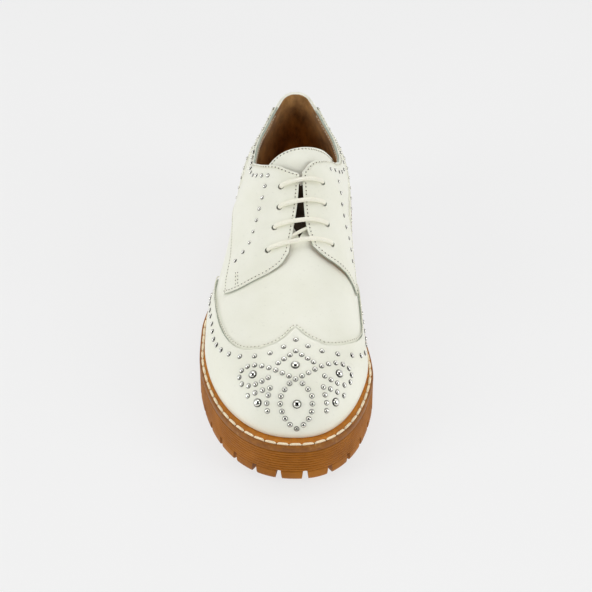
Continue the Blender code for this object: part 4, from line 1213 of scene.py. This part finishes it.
def lace_hole(side, row):
    """A round pin through the facing, along its normal."""
    station, reach = lace_place(side, row)
    angle = side_angle(side, float(rise_at_reach(side, station, reach)))
    low = upper_point(station, angle, FACING_LIFT - LACE_HOLE_SPARE)
    high = upper_point(station, angle, FACING_LIFT + QUARTER_TOP + LACE_HOLE_SPARE)
    axis = unit(high - low)
    first = unit(np.cross(axis, (0.0, 1.0, 0.0)))
    second = np.cross(axis, first)
    turns = np.linspace(0, 2 * math.pi, LACE_HOLE_SIDES, endpoint=False)
    circle = [(math.cos(t) * first + math.sin(t) * second) * LACE_HOLE_RADIUS for t in turns]
    return prism(circle, lambda p: low + p, lambda p: high + p)


def tongue_places(columns, rows):
    v = end_spaced(columns)
    t = (np.linspace(0, 1, rows) ** TONGUE_CROWD)[:, None]
    top_angle = TONGUE_TOP[0][0] + (TONGUE_TOP[-1][0] - TONGUE_TOP[0][0]) * v
    base_angle = TONGUE_BASE_ANGLES[0] + (TONGUE_BASE_ANGLES[1] - TONGUE_BASE_ANGLES[0]) * v
    top_station = smooth(TONGUE_TOP, top_angle)
    station = top_station + (TONGUE_BASE_STATION - top_station) * t
    angle = np.radians(top_angle + (base_angle - top_angle) * t)
    return station, angle


def make_tongue():
    """The tongue: pale leather where it shows above the facings; below them a near-black brown, painted shade
    for the throat gap.
    """
    station, angle = tongue_places(*TONGUE_GRID)
    depth = smooth(TONGUE_DEPTH, station)
    middle = upper_point(station, angle, -depth)
    edge = np.concatenate([middle[0], middle[:, 0], middle[:, -1]])
    wall = TONGUE_WALL / 2 * rounded_edge(edge_distance(middle, edge))
    outer = upper_point(station, angle, -depth - TONGUE_WALL / 2 + wall)
    inner = upper_point(station, angle, -depth - TONGUE_WALL / 2 - wall)
    points, faces, parts = shell(outer, inner)
    # Faces of the tongue's outside below the facings get the painted shade
    deep = [np.mean([HEEL_Y - points[i][1] for i in face]) > TONGUE_SHADE_FROM for face in faces]
    parts = [3 if part == 0 and dark else part for part, dark in zip(parts, deep)]
    finishes = (LEATHER, LEATHER, LINING, THROAT_SHADE)
    add_piece("tongue_pad", points, faces, finishes, "upper_leather", ("tongue",), parts)


# Sole, welt and footbed

def tread_height(station):
    return TOE_SPRING * np.clip((station - TOE_SPRING_START) / (LAST_LENGTH - TOE_SPRING_START), 0, 1) ** 2


def placed_ring(inset, height, count):
    loop, _ = outline_loop(inset, count)
    return np.column_stack([loop + (AXIS_X, HEEL_Y), np.broadcast_to(height, len(loop))])


def cap_faces(first, half, count):
    """Faces that close a ring of the outline by joining the two sides station by station."""
    sides = [(first + i, first + (count - i) % count) for i in range(half)]
    faces = []
    for (a, b), (c, d) in zip(sides, sides[1:]):
        corners = [a, c, d, b]
        faces.append([p for p, q in zip(corners, corners[1:] + corners[:1]) if p != q])
    return faces


def make_outsole():
    """The moulded unit: fine ribs round the side, lugs along the edge and bars across the tread."""
    half = OUTLINE_STATIONS
    _, station = outline_loop(0.0, half)
    top = feather_height(station) - WELT_THICK - CLEAR
    foot = tread_height(station)
    rings = [(SOLE_TOP_INSET, top)]
    for rib in range(RIB_COUNT):
        for share, depth in RIB_PROFILE:
            height = top - (rib + share) * RIB_PITCH
            lowest = foot + RIB_FOOT[0] + RIB_STACK * (RIB_COUNT - rib - share)
            fade = ease(*RIB_FOOT, height - foot)
            rings.append((RIB_DEPTH * depth * fade, np.maximum(height, lowest)))
    rings += [(inset, foot + height) for inset, height in SOLE_FOOT]
    points = np.concatenate([placed_ring(inset, height, half) for inset, height in rings])
    count = len(station)
    faces = ring_faces(len(rings), count)
    faces += [face[::-1] for face in cap_faces(0, half, count)]
    faces += cap_faces((len(rings) - 1) * count, half, count)
    outsole = add_piece("sole_unit", points, faces, (RUBBER,), "sole_rubber", ("outsole",))
    cut(outsole, [arch_piece()])
    cut(outsole, notch_pieces())
    cut(outsole, groove_pieces())


def arch_piece():
    start, end = HEEL_Y - ARCH_START, HEEL_Y - ARCH_END
    profile = (
        (start + ARCH_BREAST, ARCH_BELOW), (start - ARCH_BREAST, ARCH_HEIGHT),
        (end + ARCH_SLOPE, ARCH_HEIGHT), (end - ARCH_SLOPE * ARCH_FLARE, ARCH_BELOW),
    )
    return prism(profile, lambda p: (-ARCH_SIDE, *p), lambda p: (ARCH_SIDE, *p))


def notch_pieces():
    """Wedges that cut the tread's edge into lugs, evenly spaced along the outline from the toe."""
    loop, station = outline_loop(0.0, OUTLINE_STATIONS)
    loop = np.concatenate([loop, loop[:1]])
    station = np.concatenate([station, station[:1]])
    length = run_lengths(loop)
    toe = length[OUTLINE_STATIONS - 1]
    pieces = []
    count = round(length[-1] / NOTCH_SPACING)
    for k in range(count):
        place = (toe + NOTCH_SHIFT + length[-1] / count * (k + 0.5)) % length[-1]
        here = float(np.interp(place, length, station))
        if ARCH_START - ARCH_CLEAR[0] < here < ARCH_END + ARCH_CLEAR[1]:
            continue
        spot, along = along_curve(loop, np.array([place]))
        inward = np.array([-along[0][1], along[0][0]])
        pieces.append(notch_piece(spot[0] + (AXIS_X, HEEL_Y), along[0], inward, float(tread_height(here))))
    return pieces


def notch_piece(place, along, inward, floor):
    foot, top = NOTCH_WIDTH / 2, NOTCH_TOP_WIDTH / 2
    flare = (NOTCH_WIDTH - NOTCH_TOP_WIDTH) / 2 * CUT_BELOW / NOTCH_HEIGHT
    shoulder = NOTCH_HEIGHT - NOTCH_CHAMFER
    profile = (
        (-foot - flare, -CUT_BELOW), (foot + flare, -CUT_BELOW), (top, shoulder),
        (top - NOTCH_CHAMFER, NOTCH_HEIGHT), (-top + NOTCH_CHAMFER, NOTCH_HEIGHT), (-top, shoulder),
    )

    def placed(distance):
        return lambda p: (*(place + along * p[0] + inward * distance), floor + p[1])

    return prism(profile, placed(-CUT_OUTSIDE), placed(NOTCH_LENGTH))


def groove_pieces():
    """Bars across the middle of the tread, between the rows of edge lugs."""
    pieces = []
    for station in GROOVE_STATIONS:
        left, right = (AXIS_X + side * half_width(side, station) * GROOVE_REACH for side in SIDES)
        floor = float(tread_height(station))
        back, front = HEEL_Y - station + GROOVE_WIDTH / 2, HEEL_Y - station - GROOVE_WIDTH / 2
        low, high = floor - CUT_BELOW, floor + GROOVE_DEPTH
        profile = ((front, low), (back, low), (back, high), (front, high))
        pieces.append(prism(profile, lambda p, x=left: (x, *p), lambda p, x=right: (x, *p)))
    return pieces


def welt_stitch_inset(station):
    return np.minimum(WELT_STITCH_INSET, WELT_STITCH_SHARE * welt_width(station))


def make_welt():
    """The welt: a smooth strip, a groove for the stitches and a rounded, scuffed outer edge."""
    half = OUTLINE_STATIONS
    _, station = outline_loop(0.0, half)
    inner = welt_width(station) + TUCK + VAMP_WALL + WELT_UNDER_UPPER
    groove = welt_stitch_inset(station)
    profile = [(inner, -WELT_THICK), (inner, -CLEAR)]
    profile += [(share * groove + shift, -CLEAR - depth) for share, shift, depth in WELT_PROFILE]
    feather = feather_height(station)
    points = np.concatenate([placed_ring(inset, feather + height, half) for inset, height in profile])
    count = len(station)
    faces = ring_faces(len(profile), count)
    last = (len(profile) - 1) * count
    faces += [[last + i, last + (i + 1) % count, (i + 1) % count, i] for i in range(count)]
    parts = [0 if face < WELT_SMOOTH_LEVELS * count else 1 for face in range(len(faces))]
    add_piece("welt_strip", points, faces, (WELT, WELT_EDGE), "welt_leather", ("welt",), parts)


def thread_bend(count, power):
    """Places along a stitch from -0.5 to 0.5, and how far each has turned down towards an end, 0 to 1."""
    bend = np.linspace(-0.5, 0.5, count)
    return bend, (2 * np.abs(bend)) ** power


def make_welt_stitches():
    """Cream lock stitches in the welt's groove, with an awl hole at each end."""
    inset = welt_stitch_inset(outline_loop(0.0, OUTLINE_STATIONS)[1])
    loop, station = outline_loop(inset, OUTLINE_STATIONS)
    height = feather_height(station) - CLEAR - WELT_STITCH_DEPTH
    line = np.column_stack([loop + (AXIS_X, HEEL_Y), height])
    line = np.concatenate([line, line[:1]])
    total = curve_length(line)
    count = round(total / WELT_STITCH_PITCH)
    bend, ends = thread_bend(WELT_STITCH_RINGS, WELT_STITCH_POWER)
    radii = WELT_STITCH_RADIUS * (1 - WELT_STITCH_TAPER * ends)
    parts = []
    for middle in (np.arange(count) + 0.5) * total / count:
        centres, _ = along_curve(line, middle + bend * WELT_STITCH_LENGTH)
        centres[:, 2] += WELT_STITCH_RISE - WELT_STITCH_DIP * ends
        parts.append(tube(centres, radii, WELT_STITCH_SIDES))
    add_piece("welt_stitches", *joined(parts), (WELT_THREAD,), "lace_cotton")
    spots, along = along_curve(line, np.arange(count) * total / count)
    up = np.broadcast_to((0.0, 0.0, 1.0), spots.shape)
    sunk = spots - (0, 0, AWL_HOLE_DEPTH)
    holes = scattered(hole_form(AWL_HOLE_RADIUS), sunk, along, np.cross(up, along), up)
    # The awl holes are dark discs of painted shade
    add_piece("welt_awl_holes", *holes, (NEEDLE_HOLE_SHADE,), "welt_leather")


def make_footbed():
    """The footbed inside, slightly dished."""
    half, columns = FOOTBED_GRID
    _, station = outline_loop(0.0, half)
    inset = welt_width(station) + TUCK + FOOTBED_CLEAR + 2 * CLEAR
    inner, _ = outline_loop(inset, half)
    lateral = inner[:half]
    medial = np.concatenate([inner[:1], inner[half:][::-1], inner[half - 1:half]])
    share = end_spaced(columns)
    plan = lateral[:, None] + (medial - lateral)[:, None] * share[None, :, None] + (AXIS_X, HEEL_Y)
    low = feather_height(station[:half])[:, None] - WELT_THICK
    dish = FOOTBED_DISH * (1 - (2 * share - 1) ** 2)[None, :] * plan_closing(station[:half])[:, None]
    heights = (low + INSOLE_THICK - dish, np.broadcast_to(low, dish.shape))
    outer, under = (np.concatenate([plan, height[..., None]], axis=2) for height in heights)
    add_wall("footbed", outer, under, (LINING,), "lining_leather", ("insole",))


# Lace

def lace_route():
    """Station, distance from the ridge, height over the last and radius along the lace."""
    under = (FACING_LIFT + QUARTER_GAP) / 2
    top = FACING_LIFT + QUARTER_GAP + QUARTER_LEATHER
    bend = [(LACE_BEND[0][0], under, LACE_UNDER_RADIUS)]
    bend += [(share, top + height, radius) for share, height, radius in LACE_BEND]
    bar = bend + [(1 - share, height, radius) for share, height, radius in reversed(bend[:-1])]
    route = []
    for row in reversed(range(len(LACE_ROWS))):
        start = lace_corner(row, LACE_BAR_STARTS[row])
        end = lace_corner(row, -LACE_BAR_STARTS[row])
        route += [(*(start + (end - start) * share), height, radius) for share, height, radius in bar]
        if row:
            following = lace_corner(row - 1, LACE_BAR_STARTS[row - 1])
            for share in LACE_UNDER_SHARES:
                route.append((*(end + (following - end) * share), under, LACE_UNDER_RADIUS))
    return route


def lace_corner(row, side):
    """Station and signed distance from the ridge of a lace hole."""
    station, reach = lace_place(side, row)
    return np.array([station, side * reach])


def make_lace():
    """One round braided cord through all eight holes."""
    centres = []
    radii = []
    for station, reach, height, radius in lace_route():
        side = MEDIAL if reach > 0 else LATERAL
        angle = side_angle(side, rise_at_reach(side, station, abs(reach)))
        centres.append(upper_point(station, angle, height))
        radii.append(radius)
    table = np.column_stack([centres, radii])
    length = curve_length(table[:, :3])
    dense = spline_through(table, round(length / LACE_RING_PITCH))

    def braid(turn, along):
        wave = 2 * math.pi * along / BRAID_PITCH
        return BRAID_DEPTH * np.sin(BRAID_STRANDS / 2 * turn + wave) * np.sin(BRAID_STRANDS / 2 * turn - wave)

    cord = tube(dense[:, :3], dense[:, 3], LACE_SIDES, braid)
    add_piece("lace_cord", *cord, (LACE_YARN,), "lace_cotton", ("lace",), sharp_angle=LACE_SHARP_ANGLE)
    print("lace length, mm:", round(curve_length(dense[:, :3])))


# Studs

def dome_form(radius, sides):
    """A domed nail head with a thin rim, its foot sunk a little into the leather."""
    points = []
    for share, height in DOME_PROFILE:
        turns = np.linspace(0, 2 * math.pi, sides, endpoint=False)
        points.append(np.column_stack([np.cos(turns) * share, np.sin(turns) * share, 0 * turns + height]))
    points = np.concatenate(points + [np.array([[0.0, 0.0, DOME_TOP]])]) * radius
    faces = ring_faces(len(DOME_PROFILE), sides)
    last = (len(DOME_PROFILE) - 1) * sides
    tip = len(points) - 1
    faces += [[last + i, last + (i + 1) % sides, tip] for i in range(sides)]
    faces.append(list(range(sides))[::-1])
    return points, faces


def dome_rim(sides):
    """Which faces of a dome take the near-black rim colour, painted shade and painted reflection, in the
    order of its faces.
    """
    rim = np.zeros(len(dome_form(1.0, sides)[1]), int)
    rim[:DOME_RIM_RINGS * sides] = 1
    return rim


def make_studs(name, station, angle, offset, radius, sides, replaces=()):
    """Joined dome studs at places on the upper."""
    station, angle = np.atleast_1d(np.asarray(station, float)), np.atleast_1d(np.asarray(angle, float))
    foot = upper_point(station, angle, offset)
    up = unit(upper_point(station, angle, offset + 1.0) - foot)
    first = unit(np.cross(up, STUD_TURN))
    points, faces = scattered(dome_form(radius, sides), foot, first, np.cross(up, first), up)
    rim = np.tile(dome_rim(sides), len(foot))
    add_piece(name, points, faces, (METAL, STUD_RIM_SHADE), "stud_metal", replaces, rim)


def even_places(station, angle, count):
    """Evenly spaced places on a dense line of places."""
    length = run_lengths(upper_point(station, angle, 0.0))
    where = np.linspace(0.0, length[-1], count)
    return np.interp(where, length, station), np.interp(where, length, angle)


def raised_places(pixels, surface):
    """Places whose points on a raised surface fall on given places in the photograph."""
    station, angle = places_in_picture(pixels, QUARTER_TOP)
    seen, _ = picture_place(upper_point(station, angle, surface(station, angle)))
    return places_in_picture(2 * pixels - seen, QUARTER_TOP)


def picture_studs(curves, surface):
    """Places of studs, evenly spaced on curves that are given by points in the photograph."""
    stations = []
    angles = []
    for count, skipped, pixels in curves:
        line = spline_through(pixels, STUD_CURVE_POINTS)
        spots, _ = along_curve(line, np.linspace(0.0, curve_length(line), count))
        if count == len(pixels):
            spots = np.array(pixels)
        station, angle = raised_places(spots, surface)
        stations.append(station[skipped:])
        angles.append(angle[skipped:])
    return np.concatenate(stations), np.concatenate(angles)


def make_all_studs():
    offset = WING_TOP - STUD_SINK
    for number, (station, degrees) in enumerate(LARGE_STUDS, start=1):
        make_studs(f"large_stud_{number}", station, math.radians(degrees), offset, LARGE_STUD_RADIUS,
                   LARGE_STUD_SIDES, (f"stud_large_{number}",))
    places = picture_studs(TOE_STUD_CURVES, lambda station, angle: offset)
    make_studs("toe_studs", *places, offset, TOE_STUD_RADIUS, TOE_STUD_SIDES)
    for side, name in zip(SIDES, ("lateral", "medial")):
        make_side_studs(side, name)


def edge_row(station, angle, turn, row):
    """Evenly spaced places beside an edge, between two stations of it."""
    distance, spacing, first, last = row
    kept = (station >= first) & (station <= last)
    line = inset_places(station[kept], angle[kept], distance * turn)
    count = round(curve_length(upper_point(*line, 0.0)) / spacing) + 1
    return even_places(*line, count)


def make_side_studs(side, name):
    """The rows on one side that run out of the picture: quarter, wing and heel counter."""
    places, rises = quarter_places(side)
    collar = edge_row(places[-1], side_angle(side, rises[-1]), side, COLLAR_STUDS[side])

    def surface(station, angle):
        return quarter_surface(side, station, side_angle(side, angle)) + QUARTER_LEATHER - STUD_SINK

    column = picture_studs(QUARTER_STUD_CURVES[side], surface)
    station, angle = (np.concatenate(pair) for pair in zip(collar, column))
    small = (QUARTER_STUD_RADIUS, QUARTER_STUD_SIDES)
    make_studs(f"quarter_studs_{name}", station, angle, surface(station, angle), *small)
    half = wing_edge_places()[SIDES.index(side)]
    wing = np.argmax(half[0])
    station, angle = edge_row(half[0][:wing], half[1][:wing], side, WING_STUDS[side])
    make_studs(f"wing_studs_{name}", station, angle, WING_TOP - STUD_SINK, TOE_STUD_RADIUS, TOE_STUD_SIDES)
    line = np.linspace(COUNTER_STUD_START, COUNTER_EDGE[-1][0], COUNTER_LINE)
    station, angle = edge_row(line, side_angle(side, counter_top(line)), side, COUNTER_STUDS)
    make_studs(f"counter_studs_{name}", station, angle, COUNTER_FACE - STUD_SINK, *small)


# Seams

def stitch_form():
    """A short thread that dips into the leather at both ends."""
    bend, ends = thread_bend(STITCH_RINGS, STITCH_POWER)
    centres = np.column_stack([bend * STITCH_LENGTH, 0 * bend, STITCH_RISE - STITCH_DIP * ends])
    return tube(centres, STITCH_RADIUS * (1 - STITCH_TAPER * ends), STITCH_SIDES)


def hole_form(radius):
    """A dimple coloured dark as painted shade, standing for the inside of a needle hole."""
    turns = np.linspace(0, 2 * math.pi, HOLE_SIDES, endpoint=False)
    rim = np.column_stack([np.cos(turns) * radius, np.sin(turns) * radius, 0 * turns + HOLE_RIM])
    points = np.concatenate([rim, [[0.0, 0.0, HOLE_BOTTOM], [0.0, 0.0, HOLE_TOP]]])
    faces = []
    for i in range(HOLE_SIDES):
        following = (i + 1) % HOLE_SIDES
        faces += [[i, following, HOLE_SIDES + 1], [following, i, HOLE_SIDES]]
    return points, faces


def seam(station, angle, offset, facing=1, hole=NEEDLE_HOLE_RADIUS):
    """Stitches and needle holes along a line of places; the offset is that of the leather's surface."""
    points = upper_point(station, angle, offset)
    normal = upper_normal(station, angle) * facing
    total = curve_length(points)
    count = max(2, round(total / STITCH_PITCH))
    made = []
    for form, places in ((stitch_form(), (np.arange(count) + 0.5) * total / count),
                         (hole_form(hole), np.arange(count + 1) * total / count)):
        spot, along = along_curve(points, places)
        up = unit(interpolated(places, run_lengths(points), normal))
        along = unit(along - up * (along * up).sum(-1, keepdims=True))
        made.append(scattered(form, spot, along, np.cross(up, along), up))
    return made


def wing_seams():
    """Rows of stitches inside the wing's edge."""
    for side, (station, angle) in zip(SIDES, wing_edge_places()):
        inset = inset_places(station, angle, SEAM_INSET * -side)
        kept = side * (inset[1] - FULL_RISE) > math.radians(WING_SEAM_PEAK)
        kept[:WING_SEAM_SKIPPED] = False
        yield seam(inset[0][kept], inset[1][kept], WING_TOP)


def quarter_seams():
    """Rows of stitches inside the quarters' top, front and low edges."""
    for side in SIDES:
        station, rise = quarter_places(side)
        for line, turn in QUARTER_SEAMS:
            inset = inset_places(station[line], side_angle(side, rise[line]), SEAM_INSET * turn * side)
            lift = quarter_surface(side, inset[0], side_angle(side, inset[1]))
            yield seam(*inset, lift + QUARTER_LEATHER)


def counter_seams():
    """Rows of stitches inside the heel counter's edge."""
    station = np.linspace(COUNTER_SEAM_START, COUNTER_EDGE[-1][0] - 1.0, SEAM_POINTS)
    for side in SIDES:
        inset = inset_places(station, side_angle(side, counter_top(station)), SEAM_INSET * side)
        yield seam(*inset, COUNTER_FACE)


def collar_seams():
    """The row of stitches that shows inside, along the lining's top edge."""
    inside = -VAMP_WALL - LINING_GAP - LINING_WALL * COLLAR_SEAM_SHARE
    station = np.linspace(*COLLAR_SEAM_STATIONS, COLLAR_SEAM_POINTS)
    rise = rise_at_height(station, smooth(TOPLINE_HEIGHT, station) - COLLAR_SEAM_DEPTH)
    for side in SIDES:
        yield seam(station, side_angle(side, rise), inside, -1)


def bar_tack():
    """Two short rows of stitches at the lateral quarter's front corner."""
    for pixels in BAR_TACK_LINES:
        station, angle = places_in_picture(spline_through(pixels, TACK_POINTS), QUARTER_TOP)
        yield seam(station, angle, quarter_surface(LATERAL, station, angle) + QUARTER_LEATHER)


def tongue_seam():
    """The row of large holes along the tongue's top edge."""
    station, angle = (rows[0] for rows in tongue_places(*TONGUE_SEAM_GRID))
    ends = slice(TONGUE_SEAM_SKIPPED, -TONGUE_SEAM_SKIPPED)
    station, angle = (line[ends] for line in inset_places(station, angle, -TONGUE_SEAM_INSET))
    yield seam(station, angle, -smooth(TONGUE_DEPTH, station), hole=TONGUE_HOLE_RADIUS)


def make_seams():
    tight = [*wing_seams(), *counter_seams()]
    plain = [*quarter_seams(), *collar_seams(), *tongue_seam(), *bar_tack()]
    threads = joined([stitches for stitches, _ in tight + plain])
    add_piece("seam_threads", *threads, (THREAD,), "lace_cotton")
    # Both kinds of hole are discs whose dark or grey colour is painted shade
    for name, finish, seams in (("needle_holes", NEEDLE_HOLE_SHADE, plain), ("pulled_holes", PULLED_HOLE_SHADE, tight)):
        add_piece(name, *joined([holes for _, holes in seams]), (finish,), "upper_leather")


# Stage, light and camera

def make_floor():
    corners = [(x * FLOOR_SIZE, y * FLOOR_SIZE, 0) for x, y in ((-1, -1), (1, -1), (1, 1), (-1, 1))]
    mesh = bpy.data.meshes.new("floor")
    mesh.from_pydata(corners, [], [(0, 1, 2, 3)])
    mesh.materials.append(GLOWING_FLOOR)
    floor = add_object("floor", mesh)


def add_light(name, place, target, size, power):
    light = bpy.data.lights.new(name, "AREA")
    light.shape = "RECTANGLE"
    light.size, light.size_y = size
    light.energy = power
    lamp = add_object(name, light)
    lamp.location = place
    lamp.rotation_euler = direction_turn(place, target)
    return lamp


def direction_turn(place, target):
    """The turn that points an object's -Z axis at a target."""
    away = Vector(target) - Vector(place)
    return away.to_track_quat("-Z", "Y").to_euler()


def make_light():
    world = bpy.data.worlds.new("studio")
    bpy.context.scene.world = world
    world.use_nodes = True
    nodes, links = world.node_tree.nodes, world.node_tree.links
    background = nodes["Background"]
    background.inputs["Strength"].default_value = WORLD_STRENGTH
    direction = nodes.new("ShaderNodeTexCoord")
    towards = nodes.new("ShaderNodeVectorMath")
    towards.operation = "DOT_PRODUCT"
    towards.inputs[1].default_value = tuple(-CAMERA_FORWARD)
    steps = nodes.new("ShaderNodeValToRGB")
    steps.color_ramp.elements.new(0.5)
    for element, (position, grey) in zip(steps.color_ramp.elements, WORLD_STEPS):
        element.position = position
        element.color = (grey, grey, grey, 1.0)
    links.new(direction.outputs["Generated"], towards.inputs[0])
    links.new(towards.outputs["Value"], steps.inputs["Fac"])
    links.new(steps.outputs["Color"], background.inputs["Color"])
    for row in LIGHTS:
        add_light(*row)
    add_light(*FILL_LIGHT).visible_glossy = False
    view = bpy.context.scene.view_settings
    view.view_transform = "Standard"
    view.look = "None"


def make_camera():
    data = bpy.data.cameras.new("photo_camera")
    data.sensor_width = SENSOR_WIDTH
    data.lens = FOCAL_PIXELS * SENSOR_WIDTH / PICTURE_SIZE
    camera = add_object("photo_camera", data)
    camera.location = CAMERA_PLACE * MM
    camera.rotation_euler = (math.pi / 2 - CAMERA_ELEVATION, 0.0, 0.0)
    bpy.context.scene.camera = camera


make_camera()
make_light()
make_floor()
make_lace()
make_vamp()
make_lining()
make_tongue()
make_wing_cap()
make_heel_counter()
make_quarter(LATERAL, "lateral_quarter", "quarter_lateral")
make_quarter(MEDIAL, "medial_quarter", "quarter_medial")
make_outsole()
make_welt()
make_welt_stitches()
make_footbed()
make_all_studs()
make_seams()
